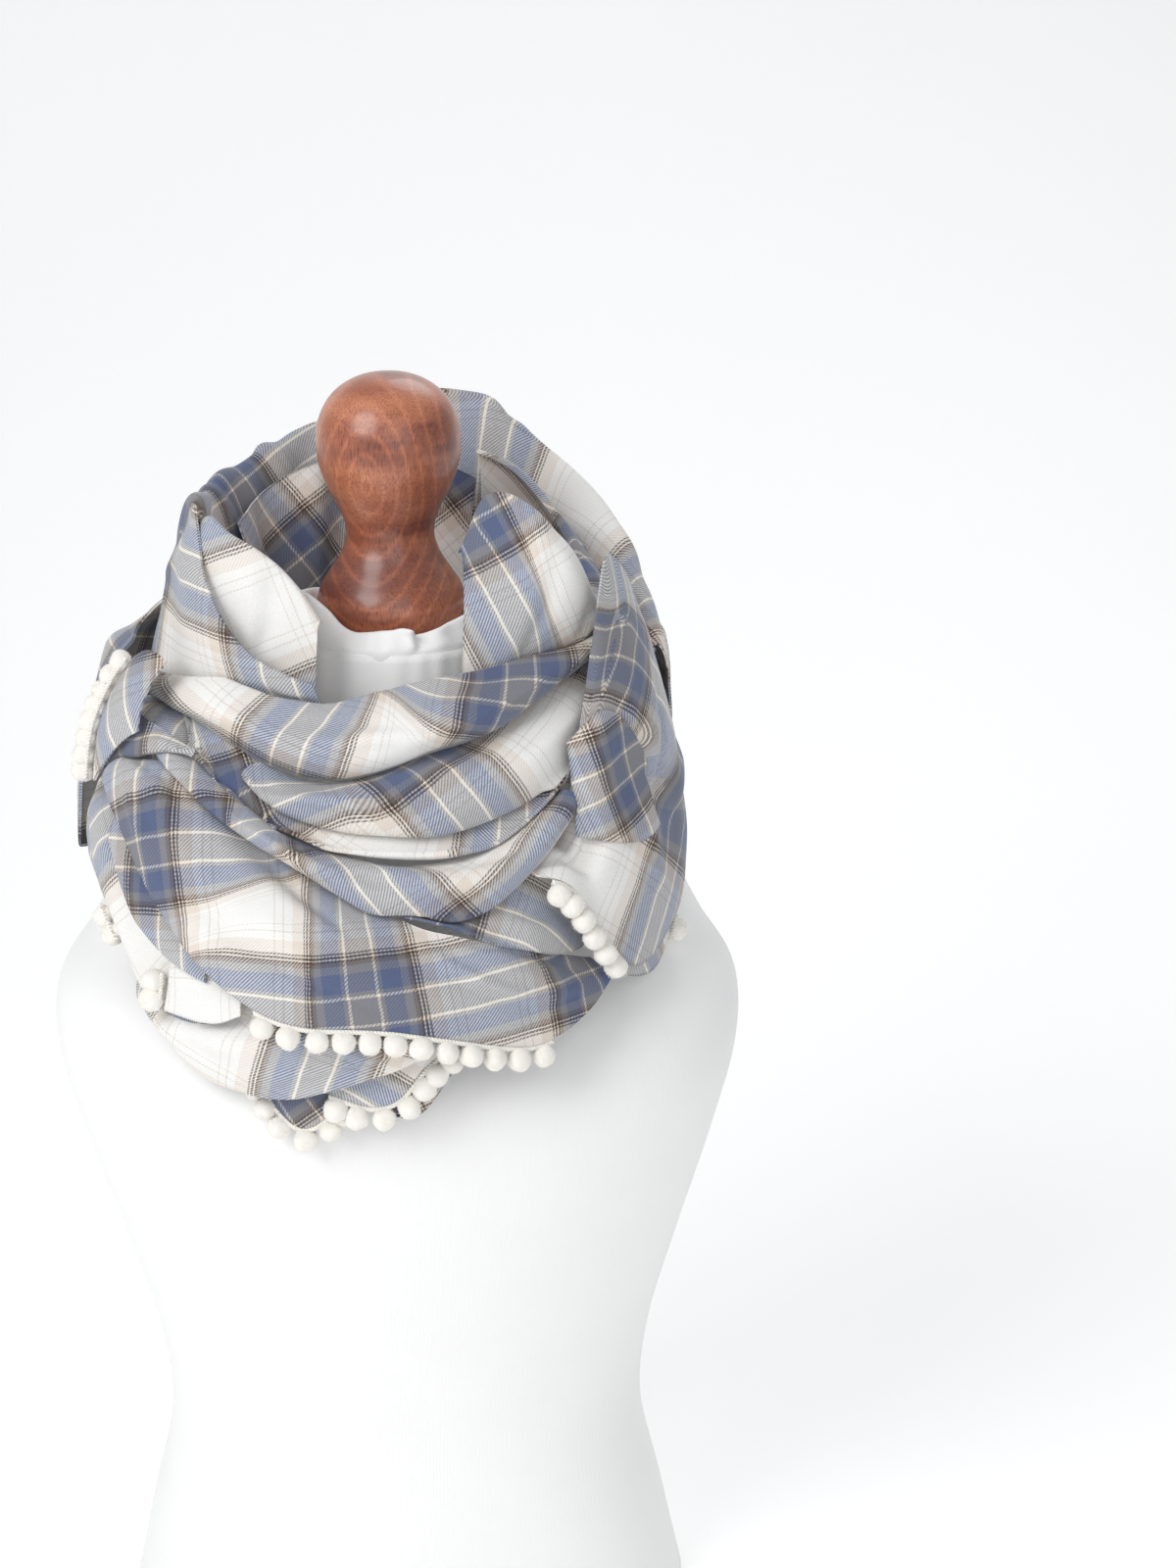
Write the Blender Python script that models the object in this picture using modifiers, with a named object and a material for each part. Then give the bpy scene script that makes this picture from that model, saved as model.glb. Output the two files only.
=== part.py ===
"""A checked flannel triangle scarf, wound twice round the neck of a limbless dress form.

The cloth is one large triangle with a pompom braid on its two short edges. Each stretch of the
winding that shows is a thin wall of its own, lofted through upright sections round the neck.
Lengths in the tables are millimetres and angles are degrees. Turn 0 is the front (-Y), 90 is the
wearer's left (+X), and 180 is the back.
"""

import math
from collections import namedtuple

import bmesh
import bpy
import numpy as np
from mathutils import Vector
from mathutils.bvhtree import BVHTree

MM = 0.001
WALL = 1.6
SEAM = 0.3

# Between the middles of two stretches that lie on one another
LAY = WALL + 0.9
LAY_PASSES = 40
LAY_REACH = 6.0
LAY_SHARE = 0.8
LAY_UPWARDS = 0.6
LAY_BENEATH = 0.7

# A whole section's length counts as much for a fold as these degrees of turn
FOLD_REACH = 60

# The dress form
NECK_TOP = 540.0
NECK_RADIUS = 52.0
FORM_SIDES = 32
FORM_RINGS = 18
FORM_SQUARENESS = 0.9
FINIAL_TALL = 130.0
FINIAL_STEPS = 24

# The pompom braid
TAPE_RADIUS = 1.5
TAPE_SIDES = 4
POMPOM_RADIUS = 6.0
POMPOM_SEGMENTS = 8
POMPOM_RINGS = 4
POMPOM_SUNK = 0.8

# A section runs from its head, the upper edge, over its crown to its foot, the lower edge.
Section = namedtuple("Section", "turn head_r head_z crown_r crown_z foot_r foot_z")

# A soft ridge (a trough where its height is below 0) between two places on a stretch. "down" is 0
# at the head and 1 at the foot; the width is in degrees round the neck.
Fold = namedtuple("Fold", "turn_a down_a turn_b down_b width height")

# A stretch's cells along and across, the radius of the roll at its head and at its foot (0 for a
# plain edge), its sections and its largest folds.
Stretch = namedtuple("Stretch", "along across head_roll foot_roll sections folds")

# From the innermost to the outermost: each is laid over those before it.
STRETCHES = {
    "tip": Stretch(
        4, 4, 0, 0,
        [
            Section(-28, 127, 372, 132, 362, 134, 352),
            Section(-24, 127, 372, 134, 358, 136, 340),
            Section(-20, 127, 372, 135, 352, 137, 326),
            Section(-15, 127, 372, 135, 352, 137, 326),
            Section(-10, 128, 372, 134.8, 354, 136.3, 336),
            Section(-5, 128, 372, 132.8, 360, 135, 350),
        ],
        [],
    ),
    "under_back": Stretch(
        4, 3, 0, 0,
        [
            Section(-1, 130, 370, 135, 354, 136, 337),
            Section(3, 130, 370, 136, 354, 137, 333),
            Section(8, 130, 370, 136, 354, 137, 335),
            Section(12, 131, 374, 136, 362, 137, 347),
            Section(16, 132, 378, 136, 370, 137, 361),
        ],
        [],
    ),
    "under_front": Stretch(
        6, 4, 0, 0,
        [
            Section(-17, 135, 374, 140, 364, 142, 352),
            Section(-8, 135, 374, 141, 360, 144, 345),
            Section(-2, 135, 374, 141, 358, 144, 341),
            Section(3, 135, 376, 141, 360, 144, 345),
            Section(8, 135, 382, 140, 372, 143, 360),
            Section(13, 135, 388, 139, 380, 142, 370),
        ],
        [],
    ),
    "lower_fold": Stretch(
        11, 5, 0, 2.5,
        [
            Section(-56, 138, 396, 147, 386, 149, 374),
            Section(-46, 138, 398, 151, 380, 151, 362),
            Section(-38, 138, 400, 153, 374, 151, 350),
            Section(-28, 138, 402, 154, 374, 150, 346),
            Section(-18, 138, 402, 154, 376, 149, 346),
            Section(-8, 138, 402, 154, 378, 150, 354),
            Section(0, 138, 402, 153, 380, 151, 362),
            Section(8, 138, 402, 151, 384, 151, 371),
            Section(16, 138, 400, 148, 388, 149, 379),
        ],
        [Fold(-50, 0.9, -10, 0.35, 4, 3), Fold(-40, 0.95, 6, 0.75, 3, -2.5)],
    ),
    "left_hang": Stretch(
        11, 5, 0, 0,
        [
            Section(-92, 134, 472, 151, 456, 155, 440),
            Section(-80, 136, 478, 153, 458, 156, 436),
            Section(-70, 138, 480, 154, 458, 157, 431),
            Section(-62, 139, 480, 154, 455, 157, 424),
            Section(-57, 140, 476, 153, 446, 156, 411),
            Section(-52, 140, 466, 152, 432, 155, 393),
            Section(-46, 140, 452, 152, 418, 154, 381),
            Section(-40, 140, 438, 152, 408, 154, 377),
            Section(-33, 140, 424, 152, 402, 154, 378),
            Section(-27, 140, 414, 150, 402, 153, 385),
        ],
        [Fold(-78, 0.1, -50, 0.95, 5, 3)],
    ),
    "left_flap": Stretch(
        4, 3, 0, 0,
        [
            Section(-41, 147, 410, 156, 397, 161, 382),
            Section(-36, 147, 406, 157, 395, 161, 382),
            Section(-30, 148, 402, 157, 394, 160, 382),
            Section(-25, 147, 400, 156, 396, 158, 388),
        ],
        [],
    ),
    "under_strip": Stretch(
        6, 4, 0, 2.0,
        [
            Section(-58, 146, 478, 154, 469, 158, 457),
            Section(-54, 146, 472, 155, 458, 159, 443),
            Section(-50, 146, 463, 156, 446, 160, 428),
            Section(-46, 146, 454, 156, 437, 160, 419),
            Section(-42, 146, 445, 156, 430, 160, 413),
            Section(-37, 146, 434, 156, 422, 160, 408),
            Section(-32, 146, 424, 154, 415, 159, 404),
        ],
        [],
    ),
    "drape": Stretch(
        16, 6, 0, 0,
        [
            Section(-60, 134, 490, 149, 494, 158, 486),
            Section(-56, 132, 490, 150, 496, 160, 480),
            Section(-50, 130, 492, 152, 494, 163, 466),
            Section(-44, 128, 488, 153, 485, 164, 449),
            Section(-37, 126, 480, 154, 470, 165, 428),
            Section(-30, 124, 470, 154, 455, 165, 410),
            Section(-22, 124, 458, 154, 440, 165, 396),
            Section(-15, 123, 448, 153, 430, 164, 390),
            Section(0, 124, 434, 151, 418, 161, 388),
            Section(8, 134, 428, 150, 412, 160, 384),
            Section(15, 139, 424, 150, 407, 158, 379),
            Section(30, 138, 413, 149, 396, 154, 370),
            Section(40, 136, 404, 146, 391, 150, 377),
            Section(49, 132, 396, 141, 392, 146, 389),
        ],
        [Fold(-52, 0.35, -8, 0.12, 4, -3), Fold(-40, 0.55, -14, 0.75, 4, -3), Fold(14, 0.05, 34, 0.5, 4, 3)],
    ),
    "swag_low": Stretch(
        6, 4, 0, 0,
        [
            Section(4, 120, 438, 127, 433, 130, 426),
            Section(15, 118, 440, 130, 430, 132, 414),
            Section(25, 117, 446, 131, 430, 133, 404),
            Section(35, 116, 450, 131, 430, 132, 400),
            Section(45, 116, 454, 129, 432, 130, 400),
            Section(52, 116, 456, 127, 436, 128, 408),
        ],
        [Fold(12, 0.9, 50, 0.45, 4, -3)],
    ),
    "right_under": Stretch(
        4, 3, 0, 0,
        [
            Section(53, 145, 416, 145, 401, 145, 387),
            Section(60, 146, 416, 146, 400, 146, 382),
            Section(68, 146, 418, 146, 402, 146, 386),
            Section(75, 146, 422, 146, 412, 146, 402),
        ],
        [],
    ),
    "right_fall": Stretch(
        13, 9, 0, 0,
        [
            Section(33, 117, 446, 129, 448, 135, 448),
            Section(38, 114, 454, 132, 452, 141, 445),
            Section(42, 116, 460, 135, 452, 146, 428),
            Section(46, 121, 465, 137, 453, 149, 412),
            Section(50, 131, 530, 139, 480, 150, 398),
            Section(54, 129, 604, 140, 500, 150, 394),
            Section(58, 127, 600, 141, 500, 150, 391),
            Section(64, 125, 592, 143, 495, 149, 395),
            Section(72, 124, 576, 144, 485, 149, 402),
            Section(82, 124, 558, 144, 480, 148, 412),
            Section(94, 122, 544, 142, 482, 147, 424),
            Section(112, 120, 540, 138, 490, 146, 432),
        ],
        [Fold(46, 0.5, 72, 0.62, 6, -9)],
    ),
    "swag_middle": Stretch(
        18, 5, 0, 2.5,
        [
            Section(-95, 113, 501, 123, 498, 125, 485),
            Section(-85, 114, 507, 127, 504, 129, 491),
            Section(-75, 115, 511, 129, 509, 132, 496),
            Section(-60, 116, 513, 132, 512, 136, 498),
            Section(-52, 116, 504, 135, 506, 138, 492),
            Section(-45, 116, 493, 136, 499, 139, 486),
            Section(-37, 115, 482, 136, 490, 139, 480),
            Section(-30, 114, 473, 135, 481, 138, 473),
            Section(-22, 113, 464, 135, 471, 137, 464),
            Section(-15, 113, 461, 135, 464, 136, 455),
            Section(0, 113, 454, 134, 456, 134, 436),
            Section(15, 113, 453, 134, 452, 133, 426),
            Section(30, 113, 461, 134, 461, 133, 446),
            Section(38, 114, 471, 133, 472, 132, 460),
            Section(45, 115, 480, 131, 482, 130, 473),
        ],
        [Fold(-20, 0.35, 14, 0.8, 4, -3)],
    ),
    "left_shade": Stretch(
        4, 4, 0, 2.0,
        [
            Section(-66, 138.3, 512, 147.3, 499, 151.3, 487),
            Section(-60, 137.3, 516, 145.3, 507, 148.3, 498),
            Section(-55, 137, 519, 142, 512, 145, 505),
            Section(-51, 135, 520, 139, 515, 141, 510),
        ],
        [],
    ),
    "fold_under": Stretch(
        14, 4, 0, 1.5,
        [
            Section(-46, 107, 500, 119, 504, 124, 503),
            Section(-37, 105, 482, 120, 490, 126, 489),
            Section(-30, 105, 472, 119, 479, 125, 476),
            Section(-15, 105, 459, 118, 466, 124, 464),
            Section(0, 105, 455, 117, 463, 123, 461),
            Section(15, 105, 454, 117, 462, 123, 460),
            Section(30, 105, 462, 117, 470, 122, 466),
            Section(38, 105, 470, 117, 477, 121, 474),
            Section(45, 105, 479, 117, 487, 121, 484),
            Section(57, 105, 491, 117, 499, 119, 495),
        ],
        [],
    ),
    "roll_second": Stretch(
        15, 5, 0, 2.5,
        [
            Section(-36, 101, 492, 112, 494, 116, 491),
            Section(-30, 99, 487, 116, 489, 120, 485),
            Section(-15, 97, 489, 117, 487, 119, 475),
            Section(0, 96, 494, 117, 490, 118, 472),
            Section(15, 96, 503, 117, 495, 118, 471),
            Section(30, 97, 510, 118, 501, 118, 477),
            Section(45, 99, 523, 118, 512, 118, 489),
            Section(58, 103, 533, 117, 524, 117, 505),
            Section(66, 104, 538, 115, 531, 115, 514),
        ],
        [Fold(-30, 0.7, 30, 0.35, 4, 2.5)],
    ),
    "inner_back": Stretch(
        10, 4, 0, 0,
        [
            Section(-209, 84, 600, 78, 574, 76, 546),
            Section(-190, 84, 610, 78, 578, 75, 542),
            Section(-165, 84, 614, 78, 576, 74, 540),
            Section(-145, 84, 608, 78, 572, 74, 537),
            Section(-125, 84, 596, 77, 566, 73, 534),
            Section(-108, 82, 588, 75, 562, 72, 534),
        ],
        [Fold(-150, 0, -140, 1, 6, -6), Fold(-128, 0, -124, 1, 6, 4), Fold(-196, 0, -204, 1, 6, -5)],
    ),
    "inner_left": Stretch(
        6, 5, 2.0, 0,
        [
            Section(-64, 101, 600, 105, 574, 100, 527),
            Section(-58, 101, 608, 106, 578, 100, 526),
            Section(-50, 98, 602, 103, 573, 97, 526),
            Section(-40, 86, 590, 91, 563, 90, 526),
            Section(-32, 80, 577, 84, 554, 85, 527),
            Section(-24, 77, 560, 79, 546, 81, 529),
        ],
        [],
    ),
    "inner_right": Stretch(
        14, 5, 2.0, 0,
        [
            Section(22, 75, 590, 79, 568, 79, 534),
            Section(30, 80, 606, 86, 575, 82, 533),
            Section(38, 90, 614, 95, 585, 86, 534),
            Section(46, 102, 608, 107, 578, 91, 536),
            Section(54, 112, 590, 114, 568, 97, 536),
            Section(61, 114, 572, 115, 559, 101, 538),
            Section(70, 108, 566, 112, 552, 102, 534),
            Section(90, 98, 572, 107, 558, 104, 530),
            Section(115, 92, 590, 100, 566, 100, 534),
            Section(140, 90, 608, 94, 578, 94, 540),
            Section(152, 90, 612, 92, 582, 91, 548),
        ],
        [Fold(33, 0, 30, 1, 4, -4), Fold(43, 0.1, 40, 1, 4, 4)],
    ),
    "hood": Stretch(
        30, 7, 0, 0,
        [
            Section(-268, 126, 524, 134, 530, 139, 518),
            Section(-255, 118, 534, 132, 549, 140, 522),
            Section(-240, 106, 548, 129, 580, 139, 528),
            Section(-225, 100, 562, 123, 606, 136, 540),
            Section(-210, 96, 570, 117, 629, 132, 556),
            Section(-195, 94, 572, 113, 639, 128, 562),
            Section(-180, 92, 570, 110, 638, 125, 562),
            Section(-165, 90, 566, 109, 631, 124, 558),
            Section(-150, 88, 562, 107, 623, 122, 552),
            Section(-135, 86, 560, 106, 612, 121, 545),
            Section(-120, 85, 562, 104, 604, 121, 538),
            Section(-105, 86, 572, 101, 601, 121, 530),
            Section(-90, 89, 586, 101, 603, 121, 525),
            Section(-75, 95, 600, 103, 598, 117, 524),
            Section(-60, 104, 612, 112, 575, 109, 524),
            Section(-50, 109, 580, 110, 556, 102, 526),
            Section(-40, 107, 555, 105, 541, 95, 524),
            Section(-30, 101, 543, 98, 534, 90, 523),
            Section(-20, 95, 535, 91, 530, 85, 522),
        ],
        [Fold(-128, 0.1, -118, 0.5, 6, 5), Fold(-150, 0, -158, 0.5, 6, -4), Fold(-226, 0, -214, 0.5, 7, -5)],
    ),
    "roll_upper": Stretch(
        20, 6, 3.0, 3.0,
        [
            Section(-86, 116, 520, 123, 518, 121, 512),
            Section(-75, 115, 525, 124, 522, 122, 515),
            Section(-60, 111, 531, 122, 527, 121, 519),
            Section(-45, 101, 536, 118, 525, 114, 509),
            Section(-30, 95, 531, 114, 516, 110, 499),
            Section(-15, 90, 527, 112, 513, 108, 495),
            Section(0, 88, 532, 111, 518, 107, 500),
            Section(15, 88, 536, 111, 524, 107, 510),
            Section(30, 90, 539, 112, 529, 108, 516),
            Section(45, 98, 545, 115, 539, 111, 530),
            Section(58, 108, 549, 118, 546, 114, 540),
            Section(66, 110, 552, 118, 550, 115, 545),
        ],
        [Fold(-20, 0.6, 40, 0.25, 4, 2.5)],
    ),
    "right_strip": Stretch(
        4, 6, 0, 0,
        [
            Section(47, 134, 488, 138, 474, 140, 462),
            Section(50, 132, 522, 139, 492, 142, 458),
            Section(54, 132, 520, 139, 488, 143, 455),
            Section(60, 132, 508, 140, 480, 144, 453),
            Section(65, 134, 492, 140, 474, 144, 456),
        ],
        [],
    ),
    "back_fall": Stretch(
        20, 6, 0, 2.5,
        [
            Section(-255, 140, 528, 147, 488, 142, 430),
            Section(-240, 138, 544, 148, 500, 138, 424),
            Section(-222, 135, 554, 146, 508, 124, 418),
            Section(-200, 130, 560, 143, 510, 108, 416),
            Section(-180, 128, 562, 141, 510, 102, 416),
            Section(-160, 127, 558, 142, 508, 106, 416),
            Section(-138, 127, 552, 147, 506, 126, 418),
            Section(-115, 128, 545, 153, 502, 148, 422),
            Section(-90, 128, 540, 153, 500, 161, 430),
            Section(-81, 129, 539, 152, 500, 160, 436),
        ],
        [Fold(-100, 0.3, -230, 0.45, 6, 4)],
    ),
    "left_front": Stretch(
        5, 5, 0, 0,
        [
            Section(-66, 133, 540, 149, 516, 157, 480),
            Section(-62, 130, 545, 148, 521, 155, 491),
            Section(-58, 128, 545, 144, 525, 149, 505),
            Section(-53, 126, 542, 136, 527, 140, 515),
        ],
        [],
    ),
}

# A braid runs along an edge of a stretch, between two places given as shares of that edge, with
# its pompoms spread evenly and lifted off the cloth around it.
Braid = namedtuple("Braid", "stretch edge start end pompoms lift")

BRAIDS = {
    "braid_front": Braid("drape", "foot", 0.42, 0.86, 12, 0),
    "braid_tip": Braid("tip", "foot", 0.06, 0.84, 6, 0),
    "braid_under": Braid("under_front", "foot", 0.20, 1.02, 7, 0),
    "braid_left": Braid("left_front", "first", 0.0, 1.0, 8, 0),
    "braid_left_low": Braid("left_hang", "foot", 0.44, 0.54, 2, 3.5),
    "braid_flap": Braid("left_flap", "first", 0.36, 1.0, 2, 3.8),
    "braid_right": Braid("right_fall", "foot", 0.03, 0.30, 6, 2),
    "braid_right_end": Braid("right_under", "foot", 0.80, 1.0, 1, 2.2),
}

TORSO = [
    # height, half width, half depth, how far the middle lies behind the neck
    (0, 150, 100, 8),
    (60, 137, 93, 8),
    (120, 126, 90, 8),
    (180, 136, 98, 4),
    (250, 156, 112, 0),
    (310, 172, 118, -5),
    (350, 177, 108, -1),
    (380, 160, 92, 9),
    (400, 149, 85, 14),
    (414, 143, 81, 18),
    (426, 128, 76, 20),
    (438, 104, 70, 18),
    (450, 84, 65, 14),
    (464, 69, 60, 9),
    (482, 59, 56, 4),
    (505, 53, 53, 0),
    (NECK_TOP - SEAM, NECK_RADIUS, NECK_RADIUS, 0),
]

# How high the cover's gathered edge stands round the knob
RUFFLE_INNER = 39.5
RUFFLE_OUTER = 50.5
RUFFLE_SIDES = 28
RUFFLE = [
    # turn, height
    (-180, 11), (-150, 14), (-120, 13), (-95, 16), (-70, 9), (-45, 10), (-20, 6), (-5, 8), (10, 6), (22, 9),
    (40, 6), (60, 10), (85, 8), (110, 12), (140, 10), (165, 12), (180, 11),
]

FINIAL = [
    # height above the neck, radius
    (0, 29), (4, 34), (10, 36.5), (16, 37), (23, 35), (31, 30), (39, 25), (47, 22.3), (55, 22.5),
    (64, 26), (74, 31), (85, 34.8), (96, 36), (107, 34.5), (117, 29.5), (124, 22), (128.5, 12),
]


def spline(knots, values, at):
    """Smooth values at each place, through every knot (a cubic with the slopes of its neighbours)."""
    knots, values = np.asarray(knots, float), np.asarray(values, float)
    slopes = np.gradient(values, knots, axis=0)
    i = np.clip(np.searchsorted(knots, at, side="right") - 1, 0, len(knots) - 2)
    step = (knots[i + 1] - knots[i])[:, None]
    s = (at - knots[i])[:, None] / step
    low, high = values[i], values[i + 1]
    return (
        (2 * s**3 - 3 * s**2 + 1) * low
        + (s**3 - 2 * s**2 + s) * step * slopes[i]
        + (3 * s**2 - 2 * s**3) * high
        + (s**3 - s**2) * step * slopes[i + 1]
    )


def fold_heights(folds, turn, down):
    """How far the folds lift the cloth at one turn, at each place down it."""
    lift = np.zeros(len(down))
    for fold in folds:
        a = np.array([fold.turn_a, fold.down_a * FOLD_REACH])
        b = np.array([fold.turn_b, fold.down_b * FOLD_REACH])
        place = np.stack([np.full(len(down), float(turn)), down * FOLD_REACH], 1)
        share = np.clip(((place - a) @ (b - a)) / ((b - a) @ (b - a)), 0, 1)
        away = np.linalg.norm(place - (a + share[:, None] * (b - a)), axis=1)
        lift += fold.height * np.exp(-((away / fold.width) ** 2))
    return lift


def profile(head, crown, foot, down, lift):
    """Points of a section in radius and height, on one curve through head, crown and foot."""
    pull = 2 * crown - (head + foot) / 2
    d = down[:, None]
    points = (1 - d) ** 2 * head + 2 * d * (1 - d) * pull + d**2 * foot
    slope = 2 * (1 - d) * (pull - head) + 2 * d * (foot - pull)
    normal = np.stack([-slope[:, 1], slope[:, 0]], 1)
    normal /= np.maximum(np.linalg.norm(normal, axis=1), 0.001)[:, None]
    return points + lift[:, None] * normal


def rolled(points, radius, at_head):
    """The section with its head or foot rolled inwards, as a folded edge is."""
    if not radius:
        return points
    edge, inner = (points[0], points[1]) if at_head else (points[-1], points[-2])
    out = (edge - inner) / np.linalg.norm(edge - inner)
    inward = np.array([out[1], -out[0]]) if (out[1] < 0) else np.array([-out[1], out[0]])
    angles = np.radians([75, 150])
    curl = [edge + radius * (math.sin(a) * out + (1 - math.cos(a)) * inward) for a in angles]
    return np.array(curl[::-1] + list(points)) if at_head else np.array(list(points) + curl)


def surface(stretch):
    """The stretch's middle as a grid of points in millimetres: along it, then down it."""
    rows = np.array(stretch.sections, float)
    turns = np.linspace(rows[0, 0], rows[-1, 0], stretch.along + 1)
    table = spline(rows[:, 0], rows[:, 1:], turns)
    down = np.linspace(0, 1, stretch.across + 1)
    grid = []
    for turn, row in zip(turns, table):
        head, crown, foot = row[0:2], row[2:4], row[4:6]
        points = profile(head, crown, foot, down, fold_heights(stretch.folds, turn, down))
        points = rolled(points, stretch.head_roll, True)
        points = rolled(points, stretch.foot_roll, False)
        a = math.radians(turn)
        grid.append(np.stack([points[:, 0] * math.sin(a), -points[:, 0] * math.cos(a), points[:, 1]], 1))
    return np.array(grid)


def cells(grid):
    """The grid's cells as four corner numbers each."""
    along, across = grid.shape[0] - 1, grid.shape[1] - 1
    n = across + 1
    return [(i * n + j, i * n + j + 1, (i + 1) * n + j + 1, (i + 1) * n + j)
            for i in range(along) for j in range(across)]


def spots_of(grid):
    """Where a grid is tested: the numbers of one, two or four points whose middle is the spot."""
    number = np.arange(grid.shape[0] * grid.shape[1]).reshape(grid.shape[:2])
    points = [[k] for k in number.ravel()]
    edges = [list(pair) for pair in zip(number[:-1].ravel(), number[1:].ravel())]
    return points + edges + [list(cell) for cell in cells(grid)]


def settle(grid, under):
    """Moves a stretch's points off the form and the stretches laid before it."""
    verts, faces = [], []
    for other in under:
        faces += [tuple(k + len(verts) for k in cell) for cell in cells(other)]
        verts += [Vector(p) for p in other.reshape(-1, 3)]
    beneath = BVHTree.FromPolygons(verts, faces)
    points = grid.reshape(-1, 3).copy()
    spots = spots_of(grid)
    for _ in range(LAY_PASSES):
        push, count = np.zeros_like(points), np.zeros(len(points))
        for corners in spots:
            shove = clearing(points[corners].mean(axis=0), beneath)
            if shove is not None:
                push[corners] += shove
                count[corners] += 1
        if not count.any():
            break
        points += push / np.maximum(count, 1)[:, None]
    return points.reshape(grid.shape)


def clearing(p, beneath):
    """The move that brings a point from within, or too near, a surface to just outside it."""
    near, normal, _face, away = beneath.find_nearest(Vector(p), LAY_REACH)
    if near is None:
        return None
    offset, normal = p - np.array(near), np.array(normal)
    across = math.hypot(p[0], p[1])
    if normal @ np.array([p[0] / across, p[1] / across, LAY_UPWARDS]) < 0:
        normal = -normal
    height = offset @ normal
    if height < -LAY_BENEATH * away:
        return normal * (LAY - height) * LAY_SHARE
    if away < LAY:
        return (offset + SEAM * normal) / max(away, SEAM) * (LAY - away) * LAY_SHARE
    return None


def material(name, colour, roughness):
    made = bpy.data.materials.new(name)
    made.use_nodes = True
    shader = made.node_tree.nodes["Principled BSDF"]
    shader.inputs["Base Color"].default_value = (*colour, 1)
    shader.inputs["Roughness"].default_value = roughness
    shader.inputs["Metallic"].default_value = 0
    made.diffuse_color = (*colour, 1)
    return made


def add(name, mesh, finish, home):
    """A named object in a collection, shaded smooth."""
    made = bpy.data.objects.new(name, mesh)
    mesh.materials.clear()
    mesh.materials.append(finish)
    mesh.shade_smooth()
    home.objects.link(made)
    return made


def mesh_from(name, points, faces):
    mesh = bpy.data.meshes.new(name)
    mesh.from_pydata([tuple(p * MM) for p in points], [], [tuple(int(k) for k in f) for f in faces])
    mesh.update()
    return mesh


def cloth(name, grid, finish, home):
    made = add(name, mesh_from(name, grid.reshape(-1, 3), cells(grid)), finish, home)
    wall = made.modifiers.new("wall", "SOLIDIFY")
    wall.thickness = WALL * MM
    wall.offset = 0


def edge_path(grid, plan):
    """Points along the braided edge, and the way out of the cloth at each."""
    if plan.edge == "foot":
        edge, inner = grid[:, -1], grid[:, -2]
    else:
        edge, inner = grid[0], grid[1]
    length = np.concatenate([[0], np.cumsum(np.linalg.norm(np.diff(edge, axis=0), axis=1))])
    stops = plan.pompoms * 2 + 1
    at = np.linspace(plan.start, plan.end, stops) * length[-1]
    line = spline(length, edge, at)
    out = spline(length, edge - inner, at)
    along = np.gradient(line, axis=0)
    along /= np.linalg.norm(along, axis=1)[:, None]
    out -= np.sum(out * along, axis=1)[:, None] * along
    out /= np.linalg.norm(out, axis=1)[:, None]
    from_neck = line * [1, 1, 0] / np.linalg.norm(line[:, :2], axis=1)[:, None]
    return line + (SEAM + TAPE_RADIUS) * out + plan.lift * from_neck, out


def braid(name, grid, plan, finish, home):
    """A tape beside the cloth's edge, fused with the pompoms that hang from it."""
    line, out = edge_path(grid, plan)
    along = np.gradient(line, axis=0)
    along /= np.linalg.norm(along, axis=1)[:, None]
    side = np.cross(along, out)
    n = TAPE_SIDES
    points, faces = [], []
    for p, o, s in zip(line, out, side):
        for k in range(n):
            a = 2 * math.pi * (k + 0.5) / n
            points.append(p + TAPE_RADIUS * (math.cos(a) * o + math.sin(a) * s))
    for i in range(len(line) - 1):
        for k in range(n):
            m = (k + 1) % n
            faces.append((i * n + k, i * n + m, (i + 1) * n + m, (i + 1) * n + k))
    faces += [range(n)[::-1], [(len(line) - 1) * n + k for k in range(n)]]
    made = add(name, mesh_from(name, np.array(points), faces), finish, home)
    bm = bmesh.new()
    for p, o in list(zip(line, out))[1::2]:
        ball = bmesh.ops.create_uvsphere(
            bm, u_segments=POMPOM_SEGMENTS, v_segments=POMPOM_RINGS, radius=POMPOM_RADIUS * MM)
        centre = p + o * (POMPOM_RADIUS - POMPOM_SUNK)
        bmesh.ops.translate(bm, verts=ball["verts"], vec=centre * MM)
    balls_mesh = bpy.data.meshes.new("balls")
    bm.to_mesh(balls_mesh)
    bm.free()
    balls = bpy.data.objects.new("balls", balls_mesh)
    home.objects.link(balls)
    fuse = made.modifiers.new("fuse", "BOOLEAN")
    fuse.operation = "UNION"
    fuse.solver = "EXACT"
    fuse.object = balls
    bpy.context.view_layer.update()
    fused = bpy.data.meshes.new_from_object(made.evaluated_get(bpy.context.evaluated_depsgraph_get()))
    bpy.data.objects.remove(made)
    bpy.data.objects.remove(balls)
    fused.name = name
    add(name, fused, finish, home)


def form_rings(grown):
    """Rounded oblong rings up the limbless body and neck, grown outwards by some millimetres."""
    rows = np.array(TORSO, float)
    rings = spline(np.linspace(0, 1, len(rows)), rows, np.linspace(0, 1, FORM_RINGS + 1))
    grid = []
    for z, half_width, half_depth, back in rings:
        ring = []
        for a in np.linspace(0, 2 * math.pi, FORM_SIDES, endpoint=False):
            c, s = math.cos(a), math.sin(a)
            x = (half_width + grown) * math.copysign(abs(c) ** FORM_SQUARENESS, c)
            y = back + (half_depth + grown) * math.copysign(abs(s) ** FORM_SQUARENESS, s)
            ring.append((x, y, z))
        grid.append(ring)
    return np.array(grid)


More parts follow.
